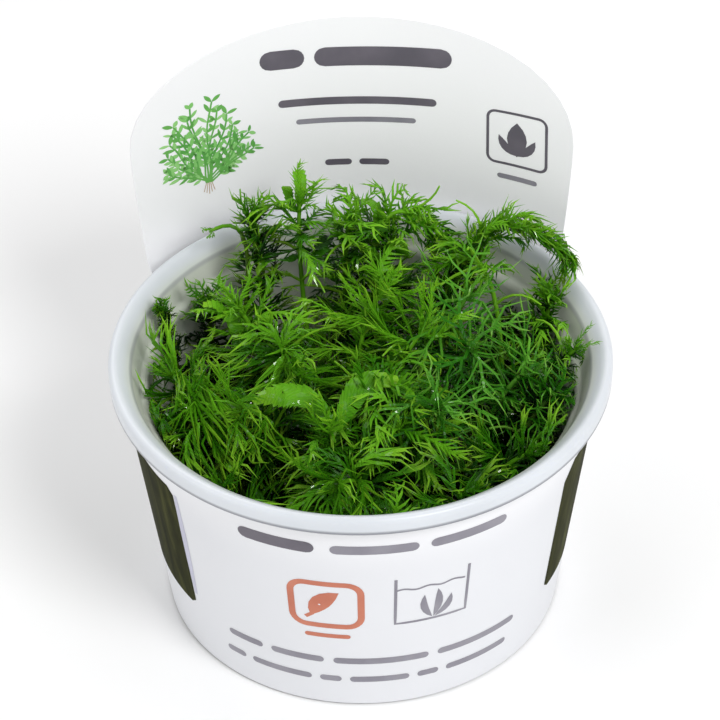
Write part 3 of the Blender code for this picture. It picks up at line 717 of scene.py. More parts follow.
def sleeve_point(angle, height, foot_angle):
    """A point on the band's inner face, at an angle from the back: a cone that flares to the card."""
    cone = cone_radius(height)
    fade = 1 - ease((abs(angle) - foot_angle) / (FLARE_END_ANGLE - foot_angle))
    fade *= 1 - ease((height - NOTCH_HEIGHT) / (SLEEVE_TOP - NOTCH_HEIGHT))
    radius = cone
    if flare(height) * fade > 0:
        radius += flare(height) * fade * (card_distance(angle, height - CUP_HEIGHT) - cone)
    return Vector((radius * math.sin(angle), radius * math.cos(angle), height))


def make_sleeve():
    """Three sheets, wrapped as the band and its sides and stood up as the card, joined and thickened."""
    columns = [2 * i / CARD_COLUMNS - 1 for i in range(CARD_COLUMNS + 1)]
    foot = [card_point(CARD_FOOT_HALF_WIDTH * column, CARD_FOOT_HEIGHT) for column in columns]
    angles = [math.atan2(point.x, point.y) for point in foot]
    foot_angle = angles[-1]
    step = (math.tau - 2 * foot_angle) / ROUND_STEPS
    angles += [foot_angle + step * i for i in range(1, ROUND_STEPS + 1)]

    def wrap(sheet, angles, heights):
        for vert in sheet.data.vertices:
            angle = angles[round((vert.co.x + 0.5) * (len(angles) - 1))]
            height = heights[round((vert.co.y + 0.5) * (len(heights) - 1))]
            vert.co = sleeve_point((angle + math.pi) % math.tau - math.pi, height, foot_angle)

    rows = round((NOTCH_HEIGHT - SLEEVE_BOTTOM) / BAND_STEP)
    heights = [SLEEVE_BOTTOM + (NOTCH_HEIGHT - SLEEVE_BOTTOM) * i / rows for i in range(rows + 1)]
    band = lay_grid(len(angles) - 1, rows)
    wrap(band, angles, heights)

    side_angles = angles[CARD_COLUMNS + NOTCH_COLUMNS : len(angles) - NOTCH_COLUMNS]
    side_heights = [NOTCH_HEIGHT + (SLEEVE_TOP - NOTCH_HEIGHT) * i / 6 for i in range(7)]
    sides = lay_grid(len(side_angles) - 1, 6)
    wrap(sides, side_angles, side_heights)

    rises = [CARD_FOOT_ROUND * (1 - math.cos(math.radians(turn))) for turn in (20, 35, 50, 65, 80, 90)]
    shoulder = CARD_HEIGHT - CARD_WIDEST_HEIGHT
    turns = (0, 8, 16, 24, 32, 40, 48, 56, 63, 69, 75, 80, 84, 87)
    heights = [CARD_FOOT_HEIGHT + rise for rise in [0, *rises]]
    heights += [-6.4, -3.9, -1.0, 2.0, 5.0, 8.0, 11.0, 14.5]
    heights += [CARD_WIDEST_HEIGHT + shoulder * math.sin(math.radians(turn)) for turn in turns]
    card = lay_grid(CARD_COLUMNS, len(heights) - 1)
    for vert in card.data.vertices:
        height = heights[round((vert.co.y + 0.5) * (len(heights) - 1))]
        vert.co = card_point(card_half_width(height) * vert.co.x * 2, height)

    take(band)
    sides.select_set(True)
    card.select_set(True)
    bpy.ops.object.join()
    bpy.ops.object.mode_set(mode="EDIT")
    bpy.ops.mesh.select_all(action="SELECT")
    bpy.ops.mesh.remove_doubles(threshold=0.01)
    bpy.ops.mesh.normals_make_consistent(inside=False)
    bpy.ops.object.mode_set(mode="OBJECT")
    if sum(face.normal.dot(face.center * Vector((1, 1, 0))) for face in band.data.polygons) < 0:
        band.data.flip_normals()
    thicken(band, "card thickness", SLEEVE_THICKNESS, 1)
    return finish_piece(band, "card_sleeve", SLEEVE_CARD, 40, "label_sleeve")


# Prints


def strip(spine, half_widths, closed=False):
    """The two edges of a flat mark drawn along a line of points, as wide as the numbers say."""
    spine = [Vector(point) for point in spine]
    count = len(spine)
    pairs = []
    for i, point in enumerate(spine):
        before = spine[i - 1] if i or closed else point
        after = spine[(i + 1) % count] if i < count - 1 or closed else point
        along = (after - before).normalized()
        side = Vector((-along.y, along.x)) * half_widths[i]
        pairs.append((point + side, point - side))
    if closed:
        pairs.append(pairs[0])
    return pairs


def even_line(spine, width, closed=False):
    return strip(spine, [width / 2] * len(spine), closed)


def word_bar(left, right, bottom, top):
    """A plain bar with round ends in place of a word."""
    half = (top - bottom) / 2
    end = min(half, (right - left) / 2)
    turns = [end * (1 - math.cos(math.radians(a))) for a in (0, 20, 40, 60, 90)]
    inner = max(1, round((right - left - 2 * end) / 2.0))
    across = [left + turn for turn in turns]
    across += [left + end + (right - left - 2 * end) * i / inner for i in range(1, inner)]
    across += [right - turn for turn in reversed(turns)]
    halves = []
    for x in across:
        near = min(x - left, right - x)
        halves.append(half * math.sqrt(max(0.0, 1 - (1 - min(1.0, near / end)) ** 2)))
    middle = (bottom + top) / 2
    return strip([(x, middle) for x in across], halves)


def word_row(bottom, top, *ends):
    """Bars beside each other in place of a line of words."""
    return [word_bar(left, right, bottom, top) for left, right in ends]


def leaf_mark(foot, tip, width, bend=0.0):
    """A pointed leaf shape from its foot to its tip."""
    foot, tip = Vector(foot), Vector(tip)
    side = Vector((-(tip - foot).y, (tip - foot).x)) * bend
    spine, halves = [], []
    for i in range(7):
        t = i / 6
        spine.append(foot.lerp(tip, t) + side * math.sin(math.pi * t))
        halves.append(width / 2 * math.sin(math.pi * t) ** 0.8)
    return strip(spine, halves)


def rounded_square(left, right, bottom, top, radius):
    """The line of a square with round corners."""
    corners = [(right - radius, top - radius, 0), (left + radius, top - radius, 90),
               (left + radius, bottom + radius, 180), (right - radius, bottom + radius, 270)]
    line = []
    for x, y, start in corners:
        for turn in range(0, 91, 15):
            angle = math.radians(start + turn)
            line.append((x + radius * math.cos(angle), y + radius * math.sin(angle)))
    return line


def cut_long(line, longest=2.0, closed=True):
    """The same line with more points, so that it can follow a curved surface."""
    result = []
    ends = list(zip(line, line[1:] + line[:1])) if closed else list(zip(line, line[1:]))
    for a, b in ends:
        parts = max(1, math.ceil(math.dist(a, b) / longest))
        result += [tuple(Vector(a).lerp(Vector(b), i / parts)) for i in range(parts)]
    return result if closed else result + [line[-1]]


def on_band(sleeve):
    """Puts a flat point, across the front and up, on the outside of the band."""
    def place(point):
        angle, height = point[0] / PRINT_RADIUS, point[1]
        out = Vector((math.sin(angle), -math.cos(angle), 0))
        hit, normal, _, _ = sleeve.ray_cast(out * 80 + Vector((0, 0, height)), -out)
        return hit + normal * INK_LIFT
    return place


def on_card(sleeve):
    """Puts a flat point, across and up from the rim, on the front of the back card."""
    def place(point):
        start = Vector((point[0], 12, CUP_HEIGHT + point[1]))
        hit, normal, _, _ = sleeve.ray_cast(start, Vector((0, 1, 0)))
        return hit + normal * INK_LIFT
    return place


def print_piece(name, marks, place, material):
    """All marks of one ink as one thin piece on the card, and the painted edge highlight the same way."""
    spots, faces = [], []
    for pairs in marks:
        start = len(spots)
        for left, right in pairs:
            spots += [place(left), place(right)]
        for i in range(len(pairs) - 1):
            a = start + 2 * i
            faces.append((a, a + 1, a + 3, a + 2))
    mesh = bpy.data.meshes.new(name)
    mesh.from_pydata(spots, [], faces)
    obj = add_object(name, mesh)
    take(obj)
    bpy.ops.object.mode_set(mode="EDIT")
    bpy.ops.mesh.select_all(action="SELECT")
    bpy.ops.mesh.remove_doubles(threshold=1e-4)
    bpy.ops.object.mode_set(mode="OBJECT")
    return finish_piece(obj, name, material, 40)


def panel_marks(front, back, low, high, cut):
    """A side panel as upright strips, its upper front corner cut off."""
    towards = 1 if back > front else -1
    count = math.ceil(abs(back - front) / 1.5)
    pairs = []
    for i in range(count + 1):
        away = abs(back - front) * i / count
        top = high - cut * (1 - ease(away / (cut * 0.8)))
        bottom = low + 1.2 * (1 - ease(away / 1.2))
        pairs.append((Vector((front + towards * away, top)), Vector((front + towards * away, bottom))))
    if towards < 0:
        pairs = [(b, a) for a, b in pairs]
    return split_rows(pairs, 16)


def split_rows(pairs, rows):
    """Cuts a wide strip into narrower ones one above the other, so that it can follow a curved surface."""
    return [[(a.lerp(b, i / rows), a.lerp(b, (i + 1) / rows)) for a, b in pairs] for i in range(rows)]


def make_prints(sleeve):
    surface = surface_of(sleeve, 1 / MM)
    band, card = on_band(surface), on_card(surface)
    small_words = (-27.6, -20.0), (-18.2, -7.8), (-6.0, 12.0), (13.8, 31.0)
    lowest_words = (-28.8, -24.4), (-22.8, -10.4), (-8.8, -4.6), (-3.0, 8.4), (10.0, 14.2), (15.8, 29.6)
    grey_words = word_row(41.9, 44.1, (-5.6, 9.2), (11.2, 25.2))
    grey_words += word_row(11.8, 13.4, *small_words) + word_row(6.7, 8.2, *lowest_words)
    print_piece("sleeve_word_bars", grey_words, band, SOFT_INK)
    print_piece("sleeve_heading_bar", word_row(41.6, 44.4, (-21.6, -8.2)), band, DARK_INK)

    frame_line = cut_long(rounded_square(-13.0, -0.6, 22.2, 33.6, 2.6))
    orange = [even_line(frame_line, 1.25, closed=True), word_bar(-11.0, -2.6, 18.9, 20.0)]
    orange += [leaf_mark((-9.6, 24.8), (-4.4, 31.4), 3.6, 0.1)]
    orange += [even_line([(-10.6, 24.2), (-9.2, 25.4)], 0.8)]
    print_piece("sleeve_orange_icon", orange, band, ORANGE_INK)

    tank = cut_long([(5.4, 34.6), (5.4, 22.6), (18.6, 22.6), (18.6, 34.6)], closed=False)
    water = [(5.6 + 0.65 * i, 31.6 + 0.25 * math.sin(i * 0.9)) for i in range(20)]
    weeds = [leaf_mark((12.2, 23.0), (10.6, 29.4), 1.4, 0.12)]
    weeds += [leaf_mark((12.4, 23.0), (13.0, 30.4), 1.5, -0.08)]
    weeds += [leaf_mark((12.6, 23.0), (15.6, 28.2), 1.4, -0.14)]
    print_piece("sleeve_tank_icon", [even_line(tank, 0.55), even_line(water, 0.4), *weeds], band, SOFT_INK)

    left = panel_marks(-PANEL_FRONTS[0], -PANEL_BACK, 13, PANEL_TOP, 1.5)
    right = panel_marks(PANEL_FRONTS[1], PANEL_BACK, 12, PANEL_TOP, 3.5)
    print_piece("sleeve_side_panels", left + right, band, PANEL_INK)
    # A painted highlight: a pale lavender strip along the left panel's front edge, where light catches the
    # edge.
    line = [(0.7 - PANEL_FRONTS[0], 16.5 + 1.5 * i) for i in range(18)]
    widths = [0.35 + 0.4 * math.sin(math.pi * i / 17) for i in range(18)]
    print_piece("sleeve_panel_edge_highlight", [strip(line, widths)], band, LAVENDER_HIGHLIGHT)

    heading = word_row(28.6, 32.6, (-17.6, -9.4), (-7.6, 17.6))
    print_piece("card_heading_bars", heading, card, DARK_INK)
    small = word_row(20.4, 22.0, (-14.4, 14.8)) + word_row(7.2, 8.5, (-6.0, -1.0), (0.4, 6.0))
    print_piece("card_word_bars", small, card, DARK_INK)
    small = word_row(16.5, 17.6, (-11.2, 11.0)) + word_row(7.6, 8.6, (26.0, 33.2))
    print_piece("card_small_bar", small, card, SOFT_INK)

    frame_line = cut_long(rounded_square(24.2, 34.8, 10.8, 21.4, 1.4))
    badge = [even_line(frame_line, 0.5, closed=True), leaf_mark((29.5, 12.6), (29.5, 19.6), 3.6)]
    for side in (-1, 1):
        badge.append(leaf_mark((29.5 + 0.2 * side, 12.8), (29.5 + 3.3 * side, 16.6), 1.5, -0.1 * side))
    print_piece("card_badge", badge, card, DARK_INK)
    make_card_picture(card)


def make_card_picture(card):
    """A small printed bush of fine green sprays, spread from one foot."""
    rng = random.Random(7)
    pale, deep = [], []
    foot = Vector((-27.6, 7.4))
    for i in range(15):
        lean = math.radians(-66 + 132 * i / 14 + rng.uniform(-4, 4))
        length = (17.5 - 6.0 * abs(lean) / 1.2) * rng.uniform(0.85, 1.02)
        tip = foot + Vector((math.sin(lean) * length * 0.78, math.cos(lean) * length))
        spine = [foot.lerp(tip, t / 8) + Vector((0.5 * math.sin(t * 0.8 + i), 0)) for t in range(9)]
        deep.append(strip(spine, [0.16] * 9))
        for j in range(2, 9):
            for side in (-1, 1):
                turn = lean + side * math.radians(rng.uniform(28, 62))
                reach = rng.uniform(1.6, 3.0) * (1.15 - 0.05 * j)
                end = spine[j] + Vector((math.sin(turn), math.cos(turn))) * reach
                leaves = pale if rng.random() < 0.6 else deep
                leaves.append(leaf_mark(spine[j], end, rng.uniform(0.5, 0.85)))
    roots = [even_line([foot + Vector((0.25 * k, 0)), foot + Vector((0.5 * k, -2.4 + 0.3 * abs(k)))], 0.14)
             for k in (-2, -1, 0, 1, 2)]
    print_piece("card_picture_pale_leaves", pale, card, PALE_GREEN_INK)
    print_piece("card_picture_deep_leaves", deep, card, GREEN_INK)
    print_piece("card_picture_roots", roots, card, BROWN_INK)


# Gel


def gel_height(x, y):
    lumps = noise.noise(Vector((x, y, 0)) * 0.16) + 0.5 * noise.noise(Vector((x, y, 9)) * 0.35)
    return GEL_TOP + GEL_LUMP * lumps


def make_gel():
    """A plug turned from its section, its top then raised in lumps."""
    side = wall_inner_radius(GEL_TOP) - GEL_GAP
    bottom = FLOOR_THICKNESS + GEL_GAP
    low = wall_inner_radius(bottom + 2) - GEL_GAP
    profile = [(0, bottom), (low - 2, bottom), (low - 0.5, bottom + 0.5), (low, bottom + 2)]
    profile += [(side, GEL_TOP - 0.6)] + [(side * share, GEL_TOP) for share in GEL_RINGS]
    gel = turn_profile(profile, GEL_SIDES)
    for vert in gel.data.vertices:
        if abs(vert.co.z - GEL_TOP) < 1e-4:
            crumbs = noise.noise(vert.co * 0.9) * 0.5
            vert.co.z = gel_height(vert.co.x, vert.co.y) + crumbs
    return finish_piece(gel, "lumpy_gel", GEL_MATERIAL, 60, "growth_gel")


# Leaves


class Heap:
    """Copies of small shapes, each with its own points, gathered into one mesh with their tones."""

    def __init__(self):
        self.spots, self.faces, self.tones, self.count = [], [], [], 0

    def add(self, spots, faces, tones):
        self.spots.append(spots)
        self.faces += [tuple(corner + self.count for corner in face) for face in faces]
        self.tones.append(tones)
        self.count += len(spots)

    def to_object(self, name):
        mesh = bpy.data.meshes.new(name)
        mesh.from_pydata(np.concatenate(self.spots).tolist(), [], self.faces)
        tones = np.concatenate(self.tones)
        mesh.color_attributes.new("tone", "FLOAT_COLOR", "POINT").data.foreach_set("color", tones.ravel())
        return add_object(name, mesh)


def mesh_parts(obj):
    """The points and faces of a small model, which is then removed."""
    spots = np.array([vert.co[:] for vert in obj.data.vertices])
    faces = [tuple(face.vertices) for face in obj.data.polygons]
    bpy.data.objects.remove(obj, do_unlink=True)
    return spots, faces


def draw_out(sides, rings):
    """A thin spike drawn out upwards from a small flat face. Each ring is (height, thickness)."""
    nothing_selected()
    foot = rings[0][1]
    bpy.ops.mesh.primitive_circle_add(vertices=sides, radius=foot, fill_type="NGON", location=(0, 0, 0))
    obj = bpy.context.active_object
    bpy.ops.object.mode_set(mode="EDIT")
    bpy.ops.mesh.select_all(action="SELECT")
    for (low, thick), (high, thin) in zip(rings, rings[1:]):
        bpy.ops.mesh.extrude_region_move(TRANSFORM_OT_translate={"value": (0, 0, high - low)})
        if thin:
            bpy.ops.transform.resize(value=(thin / thick, thin / thick, 1))
        else:
            bpy.ops.mesh.merge(type="CENTER")
    bpy.ops.mesh.select_all(action="SELECT")
    bpy.ops.mesh.normals_make_consistent(inside=False)
    bpy.ops.object.mode_set(mode="OBJECT")
    return mesh_parts(obj)


def spike_along(parts, foot, first, second, length, flat):
    """A copy of a spike laid from its foot in one direction, and in another from where it bends."""
    spots, faces = parts
    side = first.cross(Vector((0, 0, 1))).normalized()
    up = side.cross(first)
    result = []
    for x, y, z in spots:
        lower, upper = min(z, SPIKE_BEND), max(0.0, z - SPIKE_BEND)
        spot = foot + first * lower * length + second * upper * length
        result.append(spot + side * x * flat[0] + up * y * flat[1])
    return np.array([spot[:] for spot in result]), [tuple(reversed(face)) for face in faces]




def model_leaf(kind, seed):
    """One leaf, 15 mm long along +Y: a rib with a row of fine lobes on each side."""
    pairs, angle, reach, flat, forward, lift, _ = LEAF_KINDS[kind]
    rng = random.Random(f"{kind} {seed}")
    heap = Heap()
    rib, faces = RIB
    laid = np.stack([rib[:, 0] * 0.32, rib[:, 2] * LEAF_LENGTH, rib[:, 1] * 0.28], axis=1)
    heap.add(laid, [tuple(reversed(face)) for face in faces], np.zeros((len(laid), 1)))
    for i in range(pairs):
        for side in (-1, 1):
            share = (i + 0.5 + rng.uniform(-0.3, 0.3)) / (pairs + 0.8)
            swell = math.sin(math.pi * (0.22 + 0.62 * share)) ** 0.7
            length = reach * swell * rng.uniform(0.75, 1.2)
            first = math.radians(angle * (1.2 - 0.4 * share) + rng.uniform(-9, 9))
            second = first - math.radians(forward + rng.uniform(-22, 22))
            tilt, curl = rng.uniform(-0.2, lift), rng.uniform(-0.4, lift)
            start = Vector((side * math.sin(first), math.cos(first), tilt)).normalized()
            after = Vector((side * math.sin(second), math.cos(second), curl)).normalized()
            foot = Vector((0, share * LEAF_LENGTH * 0.94, 0))
            spots, faces = spike_along(SPIKE if forward else TOOTH, foot, start, after, length, flat)
            heap.add(spots, faces, np.zeros((len(spots), 1)))
    return sway(np.concatenate(heap.spots), rng), heap.faces


def sway(spots, rng):
    """The points of a leaf, swung to and fro between its foot and its tip, which stay where they are."""
    share = np.clip(spots[:, 1] / LEAF_LENGTH, 0, 1)
    for axis in (0, 2):
        swing = rng.uniform(-LEAF_SWAY, LEAF_SWAY) * np.sin(math.pi * share)
        spots[:, axis] += swing + rng.uniform(-LEAF_SWAY, LEAF_SWAY) * 0.6 * np.sin(math.tau * share)
    return spots


def model_blade(seed, columns, rows, breadth):
    """One wet leaf, 15 mm long along +Y, whose lobes cling together: a wavy sheet with toothed edges."""
    rng = random.Random(seed)
    phase, wave, fold = rng.uniform(0, 6), rng.uniform(0.2, 0.5), rng.uniform(0.1, 0.4)
    blade = lay_grid(columns, rows)
    for vert in blade.data.vertices:
        row = round((vert.co.y + 0.5) * rows)
        share, edge = row / rows, vert.co.x * 2
        tooth = row % 2 * abs(edge)
        half = breadth * LEAF_HALF_WIDTH * (0.1 + 0.9 * math.sin(math.pi * share**1.15) ** 0.75)
        half *= (1 + 0.22 * tooth) * rng.uniform(0.84, 1.0)
        along = share * LEAF_LENGTH + TOOTH_REACH * tooth * rng.uniform(0.6, 1.2)
        bend = wave * math.sin(share * 8 + phase) * edge - fold * half * abs(edge)
        vert.co = (edge * half, min(along, LEAF_LENGTH), bend)
    thicken(blade, "leaf thickness", BLADE_THICKNESS, 0)
    spots, faces = mesh_parts(blade)
    return sway(spots, rng), faces


def bend_leaf(leaf, base, middle, tip, across, width):
    """A copy of a modelled leaf, bent along the curve from its base through its middle to its tip."""
    spots, faces = leaf
    share = np.clip(spots[:, 1] / LEAF_LENGTH, 0, 1.15)[:, None]
    base, middle, tip = (np.array(point[:]) for point in (base, middle, tip))
    pull = 2 * middle - (base + tip) / 2
    centre = base * (1 - share) ** 2 + pull * 2 * share * (1 - share) + tip * share**2
    along = (pull - base) * (1 - share) + (tip - pull) * share
    along /= np.linalg.norm(along, axis=1)[:, None] + 1e-9
    side = np.array(across[:])[None, :] - along * (along @ np.array(across[:]))[:, None]
    side /= np.linalg.norm(side, axis=1)[:, None] + 1e-9
    up = np.cross(side, along)
    swell = width / 2 / LEAF_HALF_WIDTH
    return centre + side * spots[:, :1] * swell + up * spots[:, 2:] * swell, faces


def tube(points, radii, sides):
    """A round tube through the points, closed at both ends."""
    rings = []
    for i, point in enumerate(points):
        along = (points[min(i + 1, len(points) - 1)] - points[max(i - 1, 0)]).normalized()
        side = along.cross(Vector((0.2, 1, 0.1))).normalized()
        up = along.cross(side)
        for k in range(sides):
            angle = math.tau * k / sides
            rings.append(point + (side * math.cos(angle) + up * math.sin(angle)) * radii[i])
    faces = []
    for i in range(len(points) - 1):
        for k in range(sides):
            j = (k + 1) % sides
            a, b = i * sides, (i + 1) * sides
            faces.append((a + k, a + j, b + j, b + k))
    faces.append(tuple(reversed(range(sides))))
    faces.append(tuple(len(rings) - sides + k for k in range(sides)))
    return np.array([ring[:] for ring in rings]), faces


# Shoots


def room_radius(height):
    """How far from the axis a leaf may reach at a height: the wall, the lid seat, then out over the rim."""
    if height < LEDGE_HEIGHT:
        return wall_inner_radius(height)
    if height < LID_SEAT_HEIGHT:
        return LID_SEAT_RADIUS - 1.9 + 1.7 * (height - LEDGE_HEIGHT) / (LID_SEAT_HEIGHT - LEDGE_HEIGHT)
    return min(RIM_RADIUS - 0.8, LID_SEAT_RADIUS + max(0.0, height - CUP_HEIGHT - 0.4) * 1.4)


def keep_in(point, margin):
    """The point, moved towards the axis if the cup is in its way, and up if the gel is."""
    radius = math.hypot(point.x, point.y)
    limit = room_radius(point.z) - margin
    share = min(1.0, limit / radius) if radius > 0 else 1.0
    return Vector((point.x * share, point.y * share, max(point.z, GEL_TOP + GEL_LUMP + 1)))


def keep_all_in(spots):
    """The same for all points of a leaf or a stem."""
    radius = np.hypot(spots[:, 0], spots[:, 1]) + 1e-9
    limit = np.array([room_radius(height) for height in spots[:, 2]]) - ROOM_MARGIN
    share = np.minimum(1.0, limit / radius)[:, None]
    return np.concatenate([spots[:, :2] * share, spots[:, 2:]], axis=1)


def stem_route(ground, bend, tip):
    """A smooth curve that leaves the gel upright, as a function from 0 at the root to 1 at the tip."""
    start = ground + Vector((0, 0, ROOT_GAP))
    bend, tip = Vector(bend), Vector(tip)
    rise = start + Vector((0, 0, UPRIGHT_SHARE * (bend.z - start.z)))

    def at(t):
        s = 1 - t
        return start * s**3 + rise * 3 * s * s * t + bend * 3 * s * t * t + tip * t**3

    return at


def measure(at):
    """Points along the route, each with its distance from the root."""
    points = [at(i / ROUTE_STEPS) for i in range(ROUTE_STEPS + 1)]
    distances = [0.0]
    for a, b in zip(points, points[1:]):
        distances.append(distances[-1] + (b - a).length)
    return points, distances


def place_on(route, distance):
    """The point on the route at a distance from the root, and the direction there."""
    points, distances = route
    i = 1
    while i < len(points) - 1 and distances[i] < distance:
        i += 1
    share = (distance - distances[i - 1]) / (distances[i] - distances[i - 1])
    return points[i - 1].lerp(points[i], share), (points[i] - points[i - 1]).normalized()


def side_of_stem(along, angle):
    """The direction square to the stem at an angle round it."""
    side = along.cross(Vector((0, 1, 0.2))).normalized()
    return side * math.cos(angle) + along.cross(side) * math.sin(angle)


def stem_angle(number, distance):
    """How far the stem's four sides are turned: half a side from one whorl to the next."""
    return math.radians(number * 40 + 45 * distance / WHORL_SPACING)


def plan_leaf(rng, centre, along, angle, share, size, loose):
    """The middle, tip and width of one leaf. share is 0 on the lowest whorl and 1 at the stem's tip."""
    length, width = size
    out = side_of_stem(along, angle + math.radians(rng.uniform(-LEAF_TURN, LEAF_TURN)))
    spread = (LOW_SPREAD + (TIP_SPREAD - LOW_SPREAD) * share) * loose + rng.uniform(-14, 14)
    spread = math.radians(min(spread, MOST_SPREAD))
    length *= (1 - 0.2 * share) * rng.uniform(0.75, 1.2)
    width *= rng.uniform(0.85, 1.15)
    start = along * math.cos(spread) + out * math.sin(spread)
    swing = along.cross(out) * rng.uniform(-0.8, 0.8)
    droop = Vector((0, 0, rng.uniform(-1.1, 0.3)))
    middle = keep_in(centre + start * length * 0.5, 1.0)
    tip = keep_in(middle + (start + swing + droop).normalized() * length * 0.5, 0.7)
    return middle, tip, width


def count_whorls(number):
    """The main whorls, which the solid has too, and those below them."""
    whorls, kind = SHOOTS[number - 1][5], SHOOTS[number - 1][-1]
    if not whorls or number in BARE_STEMS:
        return whorls
    return whorls + (1 if kind == "dill" else EXTRA_WHORLS)


def fill_in(number, route, size, whorls, loose, kind):
    """Shorter leaves that stand between the main ones."""
    rng = random.Random(FILL_SEED + number)
    size = (size[0] * FILL_LENGTH, size[1] * FILL_WIDTH)
    leaves = []
    for i in range(count_whorls(number)):
        distance = route[1][-1] - WHORL_SPACING * (i + 0.5)
        if distance < WHORL_SPACING:
            break
        centre, along = place_on(route, distance)
        turn = rng.uniform(0, math.tau)
        count = FILLING.get(kind, 0) + THICK_SHOOTS.get(number, 0)
        for side in range(count):
            angle = turn + math.tau * side / count
            share = max(0.0, 1 - i / max(1, whorls - 1))
            middle, tip, width = plan_leaf(rng, centre, along, angle, share, size, loose)
            leaves.append((i, centre, along.cross(side_of_stem(along, angle)), middle, tip, width))
    return leaves


def plan_leaves(number, route, size, whorls, loose):
    """Leaves from the tip down, in whorls of four: (whorl, centre, across, middle, tip, width).

    A placed leaf stands in for the leaf of its whorl that points most nearly the same way.
    """
    rng = random.Random(number)
    leaves = []
    for i in range(count_whorls(number)):
        distance = route[1][-1] - WHORL_LENGTH / 2 - WHORL_SPACING * i
        if distance < WHORL_SPACING:
            break
        centre, along = place_on(route, distance)
        for side in range(LEAVES_IN_WHORL):
            angle = stem_angle(number, distance) + math.radians(45 + 90 * side)
            share = max(0.0, 1 - i / (whorls - 1))
            middle, tip, width = plan_leaf(rng, centre, along, angle, share, size, loose)
            leaves.append((i, centre, along.cross(side_of_stem(along, angle)), middle, tip, width))
    free = set(range(len(leaves)))
    for whorl, middle, tip, width in PLACED_LEAVES.get(number, ()):
        middle, tip = Vector(middle), Vector(tip)
        near = [i for i in free if leaves[i][0] == whorl]
        centre = leaves[near[0]][1]
        chosen = max(near, key=lambda i: (leaves[i][3] - centre).normalized().dot(middle - centre))
        free.remove(chosen)
        across = (tip - centre).cross(FACING).normalized()
        leaves[chosen] = (whorl, centre, across, middle, tip, width)
    return leaves


def count_above(plans):
    """How much leaf lies above each place in the cup, as a grid of cells counted from the top down."""
    points = []
    for leaves in plans:
        for _, centre, _, middle, tip, width in leaves:
            pull = 2 * middle - (centre + tip) / 2
            for t in (0.1, 0.3, 0.5, 0.7, 0.9):
                points.append(curve_at(centre, pull, tip, t))
    corner, grid = np.array(SHADE_CORNER), np.zeros(SHADE_CELLS)
    for point in points:
        place = ((np.array(point[:]) - corner) / SHADE_CELL).astype(int)
        if (place >= 0).all() and (place < SHADE_CELLS).all():
            grid[tuple(place)] += 1
    for axis in (0, 1):
        grid = (np.roll(grid, 1, axis) + grid + np.roll(grid, -1, axis)) / 3
    above = np.cumsum(grid[:, :, ::-1], axis=2)[:, :, ::-1] - grid / 2
    return corner, above


def daylight(spots):
    """How open to the light each point lies: 1 on top of the leaves, near 0 deep among them."""
    corner, above = SHADE_GRID
    place = (spots - corner) / SHADE_CELL - 0.5
    low = np.clip(place.astype(int), 0, np.array(above.shape) - 2)
    share = np.clip(place - low, 0, 1)
    total = np.zeros(len(spots))
    for i in (0, 1):
        for j in (0, 1):
            for k in (0, 1):
                x, y, z = (np.where(on, share[:, a], 1 - share[:, a]) for a, on in enumerate((i, j, k)))
                total += x * y * z * above[low[:, 0] + i, low[:, 1] + j, low[:, 2] + k]
    return np.exp(-total / SHADE_FALL)


def even_tones(spots, tint, along):
    """The tones of a stem, the same all along it except for the light."""
    tones = np.full((len(spots), 4), 0.5)
    tones[:, 0], tones[:, 1], tones[:, 2] = tint, along, daylight(spots)
    return tones


def add_stem(heap, route, radius, tint):
    """A round stem, slightly thicker where leaves grow, its foot sunk in the gel."""
    total = route[1][-1]
    points, radii = [], []
    foot, _ = place_on(route, 0)
    points.append(foot - Vector((0, 0, ROOT_GAP + ROOT_DEPTH)))
    radii.append(radius)
    steps = round(total / 1.4)
    for i in range(steps + 1):
        distance = total * i / steps
        centre, _ = place_on(route, distance)
        from_whorl = (total - distance - WHORL_LENGTH / 2) % WHORL_SPACING
        knot = 1 + 0.22 * max(0.0, 1 - min(from_whorl, WHORL_SPACING - from_whorl) / 0.8)
        points.append(centre)
        radii.append(radius * (1 - STEM_THINNING * distance / total) * knot)
    radii[-1] *= 0.4
    spots, faces = tube(points, radii, STEM_SIDES)
    heap.add(keep_all_in(spots), faces, even_tones(spots, tint, 0.8))


def add_leaf(heap, leaf, place, tint):
    """A copy of a modelled leaf, bent into its place, with its tones."""
    _, centre, across, middle, tip, width = place
    spots, faces = bend_leaf(leaf, centre, middle, tip, across, width)
    spots = keep_all_in(spots)
    tones = np.empty((len(spots), 4))
    tones[:, 0] = min(1.0, max(-0.4, tint))
    tones[:, 1] = np.clip(leaf[0][:, 1] / LEAF_LENGTH, 0, 1)
    tones[:, 2] = daylight(spots)
    tones[:, 3] = np.clip(0.5 + leaf[0][:, 0] / LEAF_HALF_WIDTH / 2, 0, 1)
    heap.add(spots, faces, tones)


def grow_shoot(number, shoot, route, leaves, kinds):
    """One shoot: its stem, all its leaves from the tip down, and the bud at its end."""
    length, kind = shoot[3], shoot[-1]
    choice = random.Random(CHOICE_SEED + number)
    heap = Heap()
    tint = SHOOT_TINTS[number - 1]
    add_stem(heap, route, STEM_RADIUS if leaves else CURL_RADIUS * 1.2, tint + (0.2 if leaves else 0))
    for place in leaves:
        broad = place[-1] > BROAD_WIDTH
        leaf = choice.choice(kinds["broad" if broad else kind])
        add_leaf(heap, leaf, place, BROAD_TINT if broad else tint + choice.uniform(-TINT_SWING, TINT_SWING))
    if leaves:
        add_runners(heap, route, choice, tint + 0.2)
    add_bud(heap, route, choice, kinds["bud"], tint + 0.25, max(1.6, 0.42 * length))
    shade = DILL_GREEN if kind == "dill" else LEAF_GREEN
    name = f"milfoil_shoot_{number:02d}"
    return finish_piece(heap.to_object(name), name, shade, 60, f"shoot_{number:02d}")


